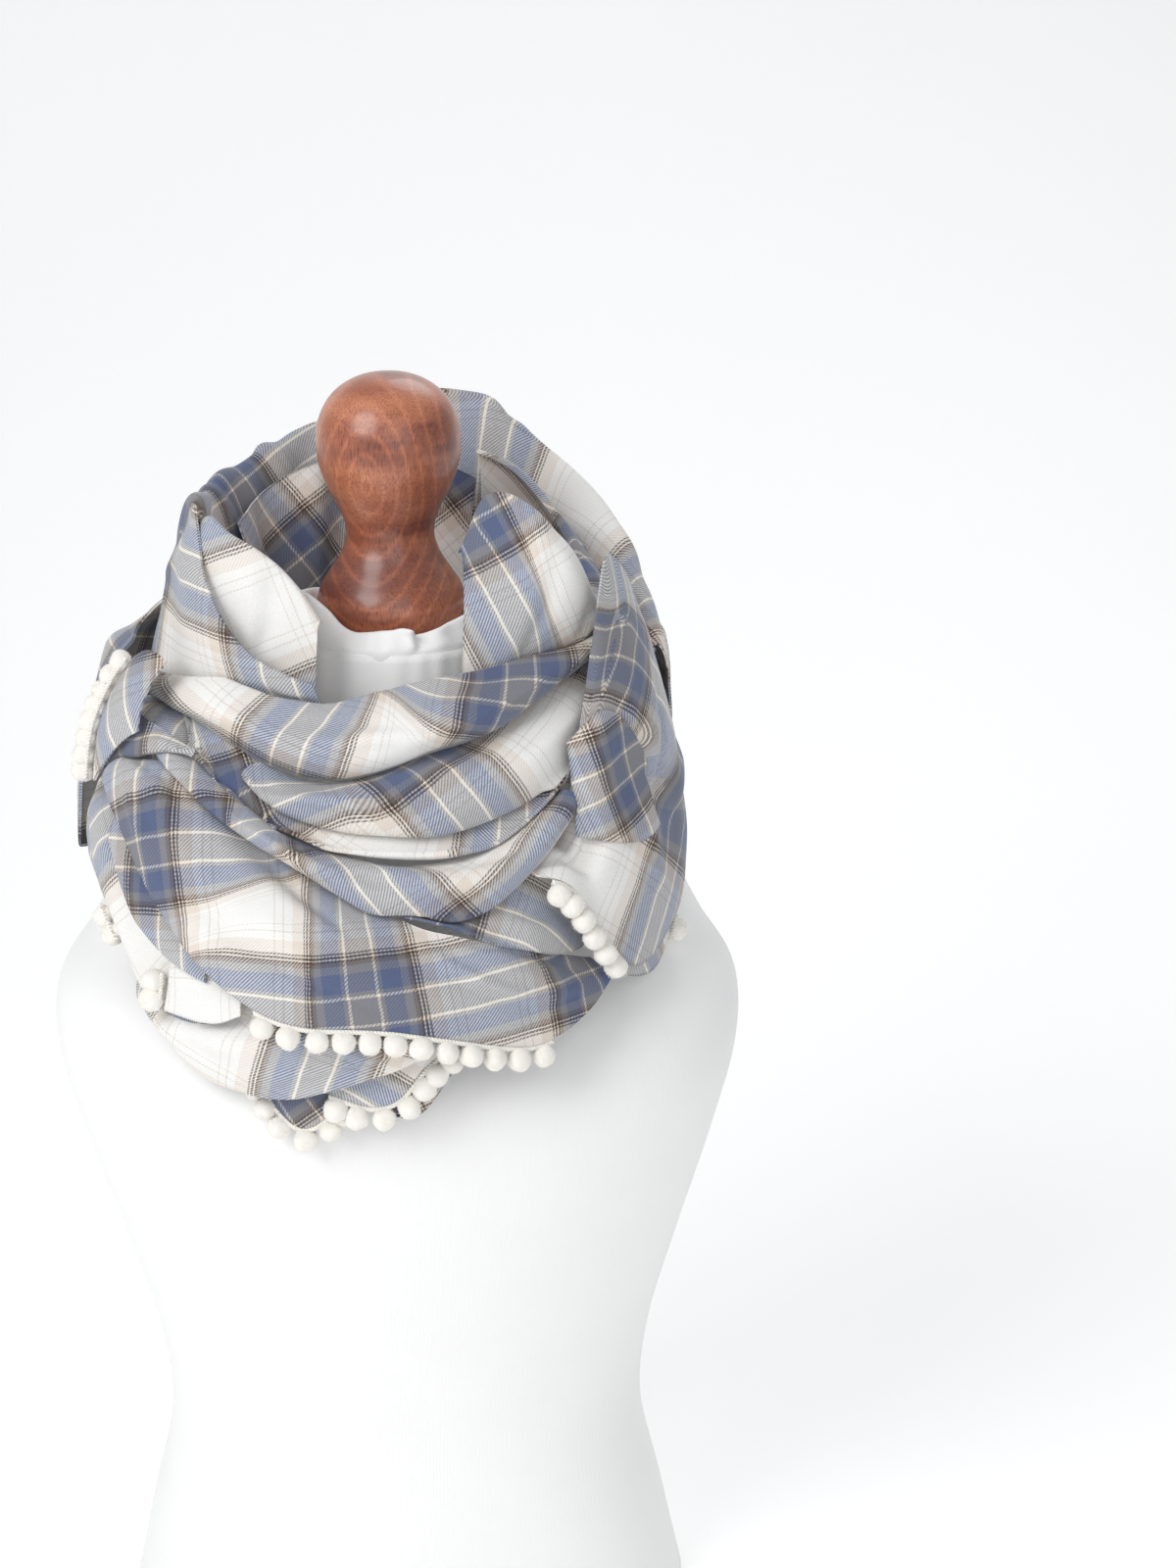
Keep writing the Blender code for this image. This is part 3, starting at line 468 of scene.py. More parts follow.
CREASES = {
    "drape": [
        (-52, 0.22, -24, 0.62, 6, 5, 2.2), (-44, 0.12, -6, 0.34, -4, 6, -2.0),
        (-34, 0.80, 2, 0.88, 3, 5, -1.2), (6, 0.20, 34, 0.62, 5, 6, 2.0),
        (16, 0.10, 44, 0.40, -3, 4, -1.6), (-54, 0.60, -40, 0.85, 2, 4, 1.4),
    ],
    "swag_middle": [
        (-40, 0.30, -8, 0.72, -4, 5, 1.8), (2, 0.15, 34, 0.55, 4, 5, -1.6),
        (-70, 0.3, -48, 0.8, 3, 5, 1.4),
    ],
    "hood": [
        (-52, 0.05, -84, 0.75, 8, 6, 2.4), (-70, 0.15, -104, 0.9, 6, 8, -2.2),
        (-118, 0.05, -112, 0.7, -5, 7, 2.2), (-146, 0.1, -132, 0.95, 7, 9, 2.4),
        (-170, 0.2, -182, 0.9, -6, 8, -2.2), (-205, 0.1, -192, 0.8, 5, 8, 2.0),
        (-232, 0.15, -244, 0.8, 5, 7, 2.0), (-40, 0.3, -24, 0.6, 2, 4, 1.2),
    ],
    "roll_upper": [
        (-70, 0.55, -34, 0.42, 3, 4, 1.6), (-30, 0.30, 12, 0.62, -3, 5, -1.4),
        (8, 0.65, 48, 0.40, 3, 4, 1.6),
    ],
    "roll_second": [(-30, 0.35, 10, 0.68, 3, 4, 1.4), (12, 0.7, 52, 0.45, -2, 4, -1.2)],
    "right_fall": [
        (52, 0.12, 66, 0.86, 5, 6, 2.0), (62, 0.70, 100, 0.55, 6, 7, 2.0),
        (74, 0.2, 70, 0.6, -4, 6, -1.6),
    ],
    "back_fall": [
        (-92, 0.15, -128, 0.75, 9, 9, 2.4), (-110, 0.1, -160, 0.55, -8, 10, -2.2),
        (-150, 0.3, -205, 0.85, 10, 10, 2.6), (-190, 0.1, -236, 0.6, -8, 9, 2.2),
        (-225, 0.4, -250, 0.8, 4, 8, -1.8),
    ],
    "left_hang": [(-76, 0.15, -52, 0.9, 5, 5, 2.0), (-62, 0.2, -38, 0.6, 4, 5, -1.6)],
    "lower_fold": [
        (-50, 0.85, -8, 0.4, 4, 5, 2.2), (-34, 0.35, 4, 0.7, -4, 5, -1.8),
        (-28, 0.9, 10, 0.72, 2, 4, 1.4),
    ],
    "inner_left": [(-58, 0.1, -46, 0.85, 4, 5, 1.8), (-38, 0.1, -42, 0.8, -3, 5, -1.6)],
    "inner_right": [
        (36, 0.0, 32, 0.9, 3, 4, 1.8), (50, 0.05, 44, 0.9, -3, 5, -1.8), (66, 0.1, 60, 0.8, 3, 5, 1.8),
        (112, 0.1, 104, 0.8, 4, 7, 1.8),
    ],
    "inner_back": [
        (-120, 0.0, -126, 0.9, 3, 6, 2.0), (-152, 0.0, -146, 0.9, -4, 7, -2.0),
        (-176, 0.0, -184, 0.9, 4, 6, 1.8),
    ],
    "swag_low": [(14, 0.85, 48, 0.45, 3, 4, 1.5)],
    "under_front": [(-10, 0.8, 8, 0.4, 2, 4, 1.2)],
    "tip": [(-22, 0.2, -16, 0.8, 1, 4, 1.0)],
}

GROUPS = {
    "tips": ("tip", "under_back", "under_front", "lower_fold"),
    "left": ("left_hang", "left_flap", "under_strip", "left_shade", "left_front"),
    "swags": ("drape", "swag_low", "swag_middle"),
    "right": ("right_under", "right_fall", "right_strip"),
    "rolls": ("fold_under", "roll_second", "roll_upper"),
    "collar": ("inner_back", "inner_left", "inner_right", "hood"),
    "back": ("back_fall",),
}

# The yarns from the middle of a blue band to the middle of the white ground, in both directions
YARNS = [
    # from, yarn
    (0.0, "grey"), (6.2, "cream"), (7.4, "grey"), (9.4, "blue"), (18.6, "grey"), (22.4, "brown"),
    (24.4, "dark"), (25.4, "cream"), (26.2, "dark"), (27.2, "cream"), (28.0, "brown"), (29.0, "beige"),
    (35.5, "white"), (40.0, "tan"), (40.8, "white"), (44.5, "tan"), (45.2, "white"), (59.0, "white"),
]


def spline(knots, values, at):
    """Smooth values at each place, through every knot (a cubic with the slopes of its neighbours)."""
    knots, values = np.asarray(knots, float), np.asarray(values, float)
    slopes = np.gradient(values, knots, axis=0)
    i = np.clip(np.searchsorted(knots, at, side="right") - 1, 0, len(knots) - 2)
    step = (knots[i + 1] - knots[i])[:, None]
    s = (at - knots[i])[:, None] / step
    low, high = values[i], values[i + 1]
    return (
        (2 * s**3 - 3 * s**2 + 1) * low
        + (s**3 - 2 * s**2 + s) * step * slopes[i]
        + (3 * s**2 - 2 * s**3) * high
        + (s**3 - s**2) * step * slopes[i + 1]
    )


def refined(rows, count):
    """So many rows, evenly along smooth curves through the rows handed in."""
    return spline(np.arange(len(rows)), rows, np.linspace(0, len(rows) - 1, count))


def unit(vectors):
    """The vectors brought to a length of one."""
    return vectors / np.maximum(np.linalg.norm(vectors, axis=-1, keepdims=True), TINY)


def run(line):
    """How far along a line each of its points is."""
    return np.concatenate([[0], np.cumsum(np.linalg.norm(np.diff(line, axis=0), axis=1))])


def between(u, v, corner):
    """A value inside a cell, at shares u and v of the way over it, from those at its corners."""
    return (
        (1 - u) * (1 - v) * corner(0, 0) + u * (1 - v) * corner(1, 0)
        + (1 - u) * v * corner(0, 1) + u * v * corner(1, 1)
    )


def ring_faces(first, count, sides):
    """The faces between each of some rings of points and the next ring, from the first point on."""
    starts = range(first, first + count * sides, sides)
    joined = [(a, k, (k + 1) % sides) for a in starts for k in range(sides)]
    return [(a + k, a + m, a + sides + m, a + sides + k) for a, k, m in joined]


def rounded(half_width, half_depth, back, a):
    """The place at one angle on the edge of a rounded oblong."""
    c, s = math.cos(a), math.sin(a)
    x = half_width * math.copysign(abs(c) ** FORM_SQUARENESS, c)
    return x, back + half_depth * math.copysign(abs(s) ** FORM_SQUARENESS, s)


def angles_of(sides):
    return np.linspace(0, 2 * math.pi, sides, endpoint=False)


def hill(x):
    """A soft hill, one high, that falls off over a length of one."""
    return np.exp(-(x**2))


def fold_heights(folds, turn, down):
    """How far the folds lift the cloth at one turn, at each place down it."""
    lift = np.zeros(len(down))
    for fold in folds:
        a = np.array([fold.turn_a, fold.down_a * FOLD_REACH])
        b = np.array([fold.turn_b, fold.down_b * FOLD_REACH])
        place = np.stack([np.full(len(down), float(turn)), down * FOLD_REACH], 1)
        share = np.clip(((place - a) @ (b - a)) / ((b - a) @ (b - a)), 0, 1)
        away = np.linalg.norm(place - (a + share[:, None] * (b - a)), axis=1)
        lift += fold.height * hill(away / fold.width)
    return lift


def profile(head, crown, foot, down, lift):
    """Points of a section in radius and height, on one curve through head, crown and foot."""
    pull = 2 * crown - (head + foot) / 2
    d = down[:, None]
    points = (1 - d) ** 2 * head + 2 * d * (1 - d) * pull + d**2 * foot
    slope = 2 * (1 - d) * (pull - head) + 2 * d * (foot - pull)
    return points + lift[:, None] * unit(np.stack([-slope[:, 1], slope[:, 0]], 1))


def rolled(points, radius, at_head):
    """The section with its head or foot rolled inwards, as a folded edge is."""
    if not radius:
        return points
    edge, inner = (points[0], points[1]) if at_head else (points[-1], points[-2])
    out = unit(edge - inner)
    inward = np.array([out[1], -out[0]]) if (out[1] < 0) else np.array([-out[1], out[0]])
    angles = np.radians(ROLL_ANGLES)
    curl = [edge + radius * (math.sin(a) * out + (1 - math.cos(a)) * inward) for a in angles]
    return np.array(curl[::-1] + list(points)) if at_head else np.array(list(points) + curl)


def surface(stretch):
    """The stretch's middle as a grid of points in millimetres: along it, then down it."""
    rows = np.array(stretch.sections, float)
    turns = np.linspace(rows[0, 0], rows[-1, 0], stretch.along + 1)
    table = spline(rows[:, 0], rows[:, 1:], turns)
    down = np.linspace(0, 1, stretch.across + 1)
    grid = []
    for turn, row in zip(turns, table):
        head, crown, foot = row[0:2], row[2:4], row[4:6]
        points = profile(head, crown, foot, down, fold_heights(stretch.folds, turn, down))
        points = rolled(points, stretch.head_roll, True)
        points = rolled(points, stretch.foot_roll, False)
        a = math.radians(turn)
        grid.append(np.stack([points[:, 0] * math.sin(a), -points[:, 0] * math.cos(a), points[:, 1]], 1))
    return np.array(grid)


def cells(grid):
    """The grid's cells as four corner numbers each."""
    along, across = grid.shape[0] - 1, grid.shape[1] - 1
    n = across + 1
    return [(i * n + j, i * n + j + 1, (i + 1) * n + j + 1, (i + 1) * n + j)
            for i in range(along) for j in range(across)]


def spots_of(grid):
    """Where a grid is tested: the numbers of one, two or four points whose middle is the spot."""
    number = np.arange(grid.shape[0] * grid.shape[1]).reshape(grid.shape[:2])
    points = [[k] for k in number.ravel()]
    edges = [list(pair) for pair in zip(number[:-1].ravel(), number[1:].ravel())]
    return points + edges + [list(cell) for cell in cells(grid)]


def settle(grid, under):
    """Moves a stretch's points off the form and the stretches laid before it."""
    verts, faces = [], []
    for other in under:
        faces += [tuple(k + len(verts) for k in cell) for cell in cells(other)]
        verts += [Vector(p) for p in other.reshape(-1, 3)]
    beneath = BVHTree.FromPolygons(verts, faces)
    points = grid.reshape(-1, 3).copy()
    spots = spots_of(grid)
    for _ in range(LAY_PASSES):
        push, count = np.zeros_like(points), np.zeros(len(points))
        for corners in spots:
            shove = clearing(points[corners].mean(axis=0), beneath)
            if shove is not None:
                push[corners] += shove
                count[corners] += 1
        if not count.any():
            break
        points += push / np.maximum(count, 1)[:, None]
    return points.reshape(grid.shape)


def clearing(p, beneath):
    """The move that brings a point from within, or too near, a surface to just outside it."""
    near, normal, _face, away = beneath.find_nearest(Vector(p), LAY_REACH)
    if near is None:
        return None
    offset, normal = p - np.array(near), np.array(normal)
    across = math.hypot(p[0], p[1])
    if normal @ np.array([p[0] / across, p[1] / across, LAY_UPWARDS]) < 0:
        normal = -normal
    height = offset @ normal
    if height < -LAY_BENEATH * away:
        return normal * (LAY - height) * LAY_SHARE
    if away < LAY:
        return (offset + SEAM * normal) / max(away, SEAM) * (LAY - away) * LAY_SHARE
    return None


def form_rings(grown):
    """Rounded oblong rings up the limbless body and neck, grown outwards by some millimetres."""
    return np.array([
        [(*rounded(half_width + grown, half_depth + grown, back, a), z) for a in angles_of(FORM_SIDES)]
        for z, half_width, half_depth, back in refined(TORSO, FORM_RINGS + 1)
    ])


@lru_cache(maxsize=None)
def coarse():
    """Each stretch's middle surface by name, as the solids have it, innermost first."""
    rings = form_rings(WALL / 2 + 2 * SEAM - LAY)
    under, grids = [np.concatenate([rings, rings[:, :1]], axis=1)], {}
    for name, stretch in STRETCHES.items():
        grids[name] = settle(surface(stretch), under)
        under.append(grids[name])
    return grids


def finer(grid, along, across):
    """The grid with more points, on smooth curves through its own."""
    rows, columns = grid.shape[:2]
    part = refined(grid.reshape(rows, -1), along + 1)
    part = part.reshape(along + 1, columns, -1).transpose(1, 0, 2).reshape(columns, -1)
    part = refined(part, across + 1)
    return part.reshape(across + 1, along + 1, -1).transpose(1, 0, 2)


def springs():
    """Pairs of slices that join each point of a grid with its neighbours, the slanting ones too."""
    every, first, last = slice(None), slice(None, -1), slice(1, None)
    return [
        ((first, every), (last, every)), ((every, first), (every, last)),
        ((first, first), (last, last)), ((first, last), (last, first)),
    ]


@lru_cache(maxsize=None)
def flat_of(name):
    """A stretch laid flat with its lengths kept, in millimetres: along it, then down it."""
    grid = coarse()[name]
    along = np.linalg.norm(np.diff(grid, axis=0), axis=2).mean(axis=1)
    down = np.linalg.norm(np.diff(grid, axis=1), axis=2).mean(axis=0)
    s, t = np.concatenate([[0], np.cumsum(along)]), np.concatenate([[0], np.cumsum(down)])
    flat = np.stack(np.meshgrid(s, t, indexing="ij"), axis=2)
    pairs = [(a, b, np.linalg.norm(grid[b] - grid[a], axis=2)) for a, b in springs()]
    joined = np.zeros(grid.shape[:2])
    for a, b, _rest in pairs:
        joined[a] += 1
        joined[b] += 1
    for _ in range(FLAT_STEPS):
        move = np.zeros_like(flat)
        for a, b, rest in pairs:
            gap = flat[b] - flat[a]
            pull = gap * (1 - rest / np.linalg.norm(gap, axis=2))[:, :, None]
            move[a] += pull
            move[b] -= pull
        flat += move / joined[:, :, None]
    return flat


def place_on(name, turn, down):
    """The flat place of one turn and one share of the way down a stretch."""
    stretch, flat = STRETCHES[name], flat_of(name)
    first, last = stretch.sections[0].turn, stretch.sections[-1].turn
    i = np.clip((turn - first) / (last - first), 0, 1) * (flat.shape[0] - 1)
    j = (2 if stretch.head_roll else 0) + down * stretch.across
    a, b = min(int(i), flat.shape[0] - 2), min(int(j), flat.shape[1] - 2)
    return between(i - a, j - b, lambda di, dj: flat[a + di, b + dj])


def creased(name, flat):
    """How far the creases lift the cloth at each flat point."""
    lift = np.zeros(flat.shape[:2])
    for k, crease in enumerate(Crease(*row) for row in CREASES.get(name, ())):
        a = place_on(name, crease.turn_a, crease.down_a)
        b = place_on(name, crease.turn_b, crease.down_b)
        length = np.linalg.norm(b - a)
        ahead = (b - a) / length
        away = flat - a
        u = np.clip((away @ ahead) / length, 0, 1)
        side = away @ np.array([-ahead[1], ahead[0]]) - crease.bow * 4 * u * (1 - u)
        past = np.maximum(np.abs((away @ ahead) / length - 0.5) - 0.5, 0) * length
        width = crease.width * (CREASE_NARROWED + CREASE_SWELL * np.sin(3.1 * u + k))
        fade = np.sin(np.pi * (CREASE_END + (1 - 2 * CREASE_END) * u)) ** CREASE_FADE
        beside = hill((side - HOLLOW_AWAY * width) / (HOLLOW_WIDE * width))
        uneven = 1 + CREASE_UNEVEN * np.sin(7 * u + 2 * k)
        across = hill(side / width) - HOLLOW_DEEP * beside
        lift += crease.height * uneven * fade * across * hill(past / width)
    return lift


def rumple(flat, size, seed):
    """Soft random unevenness between -1 and 1, of one size, over flat points."""
    random_values = np.random.default_rng(seed).uniform(-1, 1, (RUMPLE_GRID, RUMPLE_GRID))
    x, y = (flat[..., k] / size + RUMPLE_START[k] for k in (0, 1))
    i, j = np.floor(x).astype(int), np.floor(y).astype(int)
    u, v = x - i, y - j
    u, v = u * u * (3 - 2 * u), v * v * (3 - 2 * v)
    return between(u, v, lambda di, dj: random_values[(i + di) % RUMPLE_GRID, (j + dj) % RUMPLE_GRID])


def normals_of(grid):
    """The way out of the cloth at each point, on the side that faces away from the neck or up."""
    normal = unit(np.cross(np.gradient(grid, axis=0), np.gradient(grid, axis=1)))
    from_neck = grid * [1, 1, 0] / np.linalg.norm(grid[..., :2], axis=2)[:, :, None] + [0, 0, LAY_UPWARDS]
    return normal * np.sign(np.sum(normal * from_neck, axis=2).mean())


def softened(field, times):
    """The field smoothed over its neighbours."""
    for _ in range(times):
        padded = np.pad(field, ((1, 1), (1, 1), (0, 0)), mode="edge")
        field = (
            padded[:-2, 1:-1] + padded[2:, 1:-1] + padded[1:-1, :-2] + padded[1:-1, 2:] + 4 * field
        ) / 8
    return field


def bedding(grid, beneath):
    """The moves that keep the fine cloth off the fine stretches beneath it."""
    push = np.zeros_like(grid)
    flat, moves = grid.reshape(-1, 3), push.reshape(-1, 3)
    low, high = flat.min(axis=0) - BED_REACH, flat.max(axis=0) + BED_REACH
    for tree, tree_low, tree_high in beneath:
        if (low > tree_high).any() or (high < tree_low).any():
            continue
        near_box = ((flat > tree_low - BED_REACH) & (flat < tree_high + BED_REACH)).all(axis=1)
        for k in np.nonzero(near_box)[0]:
            p = flat[k]
            near, normal, _face, away = tree.find_nearest(Vector(p), BED_REACH)
            if near is None:
                continue
            normal, offset = np.array(normal), p - np.array(near)
            if normal @ np.array([p[0], p[1], LAY_UPWARDS * math.hypot(p[0], p[1])]) < 0:
                normal = -normal
            height = offset @ normal
            square = abs(height) > BED_STEEP * away - BED_SLACK
            if square and BED - height > np.linalg.norm(moves[k]) and height < BED:
                moves[k] = normal * (BED - height)
    return push


@lru_cache(maxsize=None)
def dressed():
    """Each stretch's fine creased surface and its flat places, innermost first."""
    beneath, made = [], {}
    for k, (name, grid) in enumerate(coarse().items()):
        flat = flat_of(name)
        size = flat.reshape(-1, 2).max(axis=0) - flat.reshape(-1, 2).min(axis=0)
        along, across = (max(FEWEST_CELLS, int(length / CELL)) for length in size)
        points, places = finer(grid, along, across), finer(flat, along, across)
        lift = creased(name, places)
        for height, wide, seed in RUMPLES:
            lift = lift + height * rumple(places, wide, k + seed)
        points = points + lift[:, :, None] * softened(normals_of(points), NORMAL_SOFTENINGS)
        for smoothing in BED_SOFTENINGS:
            push = bedding(points, beneath)
            points = points + softened(push, smoothing)
        made[name] = points, places
        corners = cells(points)
        tree = BVHTree.FromPolygons([Vector(p) for p in points.reshape(-1, 3)], corners)
        whole = points.reshape(-1, 3)
        beneath.append((tree, whole.min(axis=0), whole.max(axis=0)))
    return made


def pictured(points):
    """Where points fall in the photograph, in its pixels, and how far they are from the camera."""
    tilt = math.radians(CAMERA_TILT)
    ahead = np.array([0, math.cos(tilt), -math.sin(tilt)])
    up = np.array([0, math.sin(tilt), math.cos(tilt)])
    sight = points - (np.array(CAMERA_AIM) - CAMERA_AWAY * ahead)
    away = sight @ ahead
    scale = CAMERA_AWAY / CAMERA_COVERS * PICTURE_TALL / away
    across, down = PICTURE_WIDE / 2 + scale * sight[..., 0], PICTURE_TALL / 2 - scale * (sight @ up)
    return np.stack([across, down], -1), away


def checked_from(check, points, places, facing):
    """The flat places turned and moved so that the check falls as one row says, the row's place on
    them, and the flat ways that lie rightwards and downwards there (those handed in where it has no lean).
    """
    seen, away = pictured(points)
    off = np.linalg.norm(seen - [check.x, check.y], axis=2)
    i, j = np.unravel_index(np.where(off < off.min() + NEAR_ENOUGH, away, np.inf).argmin(), off.shape)
    i, j = (int(np.clip(k, ROUND_IT, size - 1 - ROUND_IT)) for k, size in zip((i, j), off.shape))
    if check.lean is not None:
        ends = ((i + ROUND_IT, j), (i - ROUND_IT, j)), ((i, j + ROUND_IT), (i, j - ROUND_IT))
        in_picture = np.stack([seen[a] - seen[b] for a, b in ends], 1)
        in_flat = np.stack([places[a] - places[b] for a, b in ends], 1)
        lean = math.radians(check.lean)
        downwards = unit(in_flat @ np.linalg.solve(in_picture, [math.sin(lean), math.cos(lean)]))
        rightwards = np.array([downwards[1], -downwards[0]])
        rightwards *= math.copysign(1, (in_picture @ np.linalg.solve(in_flat, rightwards))[0])
        facing = np.stack([rightwards, downwards], 1)
    return [check.p, check.q] + (places - places[i, j]) @ facing, places[i, j], facing


def checked_places(name, points, places, repeat):
    checks = [Check(*row) for row in CHECKS[name]]
    first, first_place, facing = checked_from(checks[0], points, places, None)
    total, weights = 0, 0
    for check in checks:
        checked, place, _facing = checked_from(check, points, places, facing)
        middle = np.linalg.norm(places - (place + first_place) / 2, axis=2)
        halfway = np.unravel_index(middle.argmin(), middle.shape)
        checked = checked - repeat * np.round((checked[halfway] - first[halfway]) / repeat)
        weight = (1 + np.linalg.norm(places - place, axis=2)[:, :, None]) ** -CHECK_HOLDS
        total, weights = total + weight * checked, weights + weight
    return total / weights * MM


def flat_size(places):
    """The width, length and area of the smallest oblong round a flat shape, in metres."""
    grid = places * MM
    a, b = grid[1:, 1:] - grid[:-1, :-1], grid[1:, :-1] - grid[:-1, 1:]
    area = float(np.abs(a[..., 0] * b[..., 1] - a[..., 1] * b[..., 0]).sum() / 2)
    sizes = []
    for angle in np.radians(np.arange(0, 90, 3)):
        x = grid[..., 0] * math.cos(angle) + grid[..., 1] * math.sin(angle)
        y = grid[..., 1] * math.cos(angle) - grid[..., 0] * math.sin(angle)
        sizes.append((float(np.ptp(x)), float(np.ptp(y))))
    width, length = min(sizes, key=lambda pair: pair[0] * pair[1])
    return width, length, min(area, width * length)


class Wire:
    """A node's output that can stand in sums: each sum adds its Math node."""

    def __init__(self, finish, socket):
        self.finish, self.socket = finish, socket

    def math(self, operation, *others):
        return self.finish.node("ShaderNodeMath", {"operation": operation}, [self, *others])

    def __add__(self, other):
        return self.math("ADD", other)

    def __sub__(self, other):
        return self.math("SUBTRACT", other)

    def __mul__(self, other):
        return self.math("MULTIPLY", other)

    def __truediv__(self, other):
        return self.math("DIVIDE", other)


class Finish:
    """A material being made, with its nodes."""

    def __init__(self, name):
        self.material = bpy.data.materials.new(name)
        self.material.use_nodes = True
        self.tree = self.material.node_tree
        self.shader = self.tree.nodes["Principled BSDF"]

    def node(self, kind, settings=None, inputs=None, output=0):
        made = self.tree.nodes.new(kind)
        for key, value in (settings or {}).items():
            setattr(made, key, value)
        pairs = inputs.items() if isinstance(inputs, dict) else enumerate(inputs or [])
        for key, value in pairs:
            self.feed(made.inputs[key], value)
        return Wire(self, made.outputs[output])

    def feed(self, socket, value):
        if isinstance(value, Wire):
            self.tree.links.new(value.socket, socket)
        elif socket.type == "RGBA":
            socket.default_value = (*value[:3], 1)
        else:
            socket.default_value = value

    def place(self):
        """The object's own coordinates."""
        return self.node("ShaderNodeTexCoord", output=3)

    def first_two(self, place):
        parts = self.node("ShaderNodeSeparateXYZ", None, [place]).socket.node
        return Wire(self, parts.outputs[0]), Wire(self, parts.outputs[1])

    def ramp(self, share, stops, how="LINEAR"):
        """The colour at a share of the way through some stops of share and colour."""
        made = self.node("ShaderNodeValToRGB", None, [share])
        ramp = made.socket.node.color_ramp
        ramp.interpolation = how
        while len(ramp.elements) > 1:
            ramp.elements.remove(ramp.elements[-1])
        ramp.elements[0].position = stops[0][0]
        ramp.elements[0].color = (*stops[0][1], 1)
        for position, tint in stops[1:]:
            ramp.elements.new(position).color = (*tint, 1)
        return made

    def blend(self, share, a, b, how="MIX"):
        settings = {"data_type": "RGBA", "blend_type": how}
        return self.node("ShaderNodeMix", settings, {0: share, 6: a, 7: b}, output=2)

    def noise(self, place, scale, detail=2.0, roughness=0.5):
        inputs = {"Vector": place, "Scale": scale, "Detail": detail, "Roughness": roughness}
        return self.node("ShaderNodeTexNoise", None, inputs)

    def bump(self, height, strength, distance):
        inputs = {"Height": height, "Strength": strength, "Distance": distance}
        return self.node("ShaderNodeBump", None, inputs)

    def set(self, **values):
        for key, value in values.items():
            self.feed(self.shader.inputs[key.replace("_", " ")], value)
        return self.material


def shade_of(colour, power):
    return tuple(max(c, 0.0) ** power for c in colour)


def flannel(look):
    """Yarn-dyed twill: the same yarns both ways, brushed soft on the face."""
    finish = Finish("Checked flannel")
    place = finish.node("ShaderNodeUVMap", {"uv_map": "cloth"})
    p, q = finish.first_two(place)
    wander = (finish.noise(place, 45, 1) - 0.5) * 0.0016
    fray = (finish.noise(place, 1500, 1) - 0.5) * 0.0007
    half = look.repeat / 2
    yarns = {
        "white": look.white, "cream": look.cream, "blue": look.blue, "grey": look.grey,
        "brown": look.brown, "dark": look.dark, "beige": look.beige, "tan": look.tan,
    }

    def stripes(along, power):
        stops = [(start * MM / half, shade_of(yarns[yarn], power)) for start, yarn in YARNS]
        across = (along + wander + fray).math("PINGPONG", half) / half
        return finish.ramp(across, stops, "CONSTANT")

    heavy, light = 1 + look.twill, 1 - look.twill
    over = finish.blend(1.0, stripes(p, heavy), stripes(q, light), "MULTIPLY")
    under = finish.blend(1.0, stripes(p, light), stripes(q, heavy), "MULTIPLY")
    slant = ((p + q + fray) * (2 * math.pi / look.twill_pitch)).math("SINE") * 0.5 + 0.5
    weave = finish.blend(slant, over, under)
    speckle = finish.noise(place, 1100, 2) * 0.24 + 0.88
    cloudy = finish.noise(place, 55, 3) * 0.10 + 0.95
    colour = finish.blend(1.0, weave, finish.node(
        "ShaderNodeCombineXYZ", None, [speckle * cloudy, speckle * cloudy, speckle * cloudy]), "MULTIPLY")
    fuzz = finish.noise(place, 700, 3, 0.7)
    height = slant * 0.35 + fuzz
    return finish.set(
        Base_Color=colour, Roughness=0.92, Sheen_Weight=0.25, Sheen_Roughness=0.5,
        Specular_IOR_Level=0.15, Normal=finish.bump(height, 0.35, 0.0004),
    )


def braid_wool(look):
    """Soft cream acrylic, matt and woolly."""
    finish = Finish("Cream braid")
    place = finish.place()
    fine = finish.noise(place, 1400, 3, 0.7)
    tint = finish.noise(place, 160, 2)
    colour = finish.blend(tint, look.braid, look.braid_shade)
    return finish.set(
        Base_Color=colour, Roughness=0.95, Sheen_Weight=0.3, Sheen_Roughness=0.6,
        Specular_IOR_Level=0.1, Normal=finish.bump(fine, 0.5, 0.0005),
    )


def jersey(look):
    """The form's plain knitted cover, with fine upright ribs."""
    finish = Finish("Plain jersey")
    place = finish.place()
    x, y = finish.first_two(place)
    turn = finish.node("ShaderNodeMath", {"operation": "ARCTAN2"}, [y, x])
    rib = (turn * 300).math("SINE") * 0.5 + 0.5
    fine = finish.noise(place, 1200, 2)
    tint = finish.noise(place, 30, 3)
    colour = finish.blend(tint, look.jersey, look.jersey_shade)
    return finish.set(
        Base_Color=colour, Roughness=0.9, Sheen_Weight=0.15, Sheen_Roughness=0.5,
        Specular_IOR_Level=0.2, Normal=finish.bump(rib * 0.5 + fine, 0.25, 0.0003),
    )


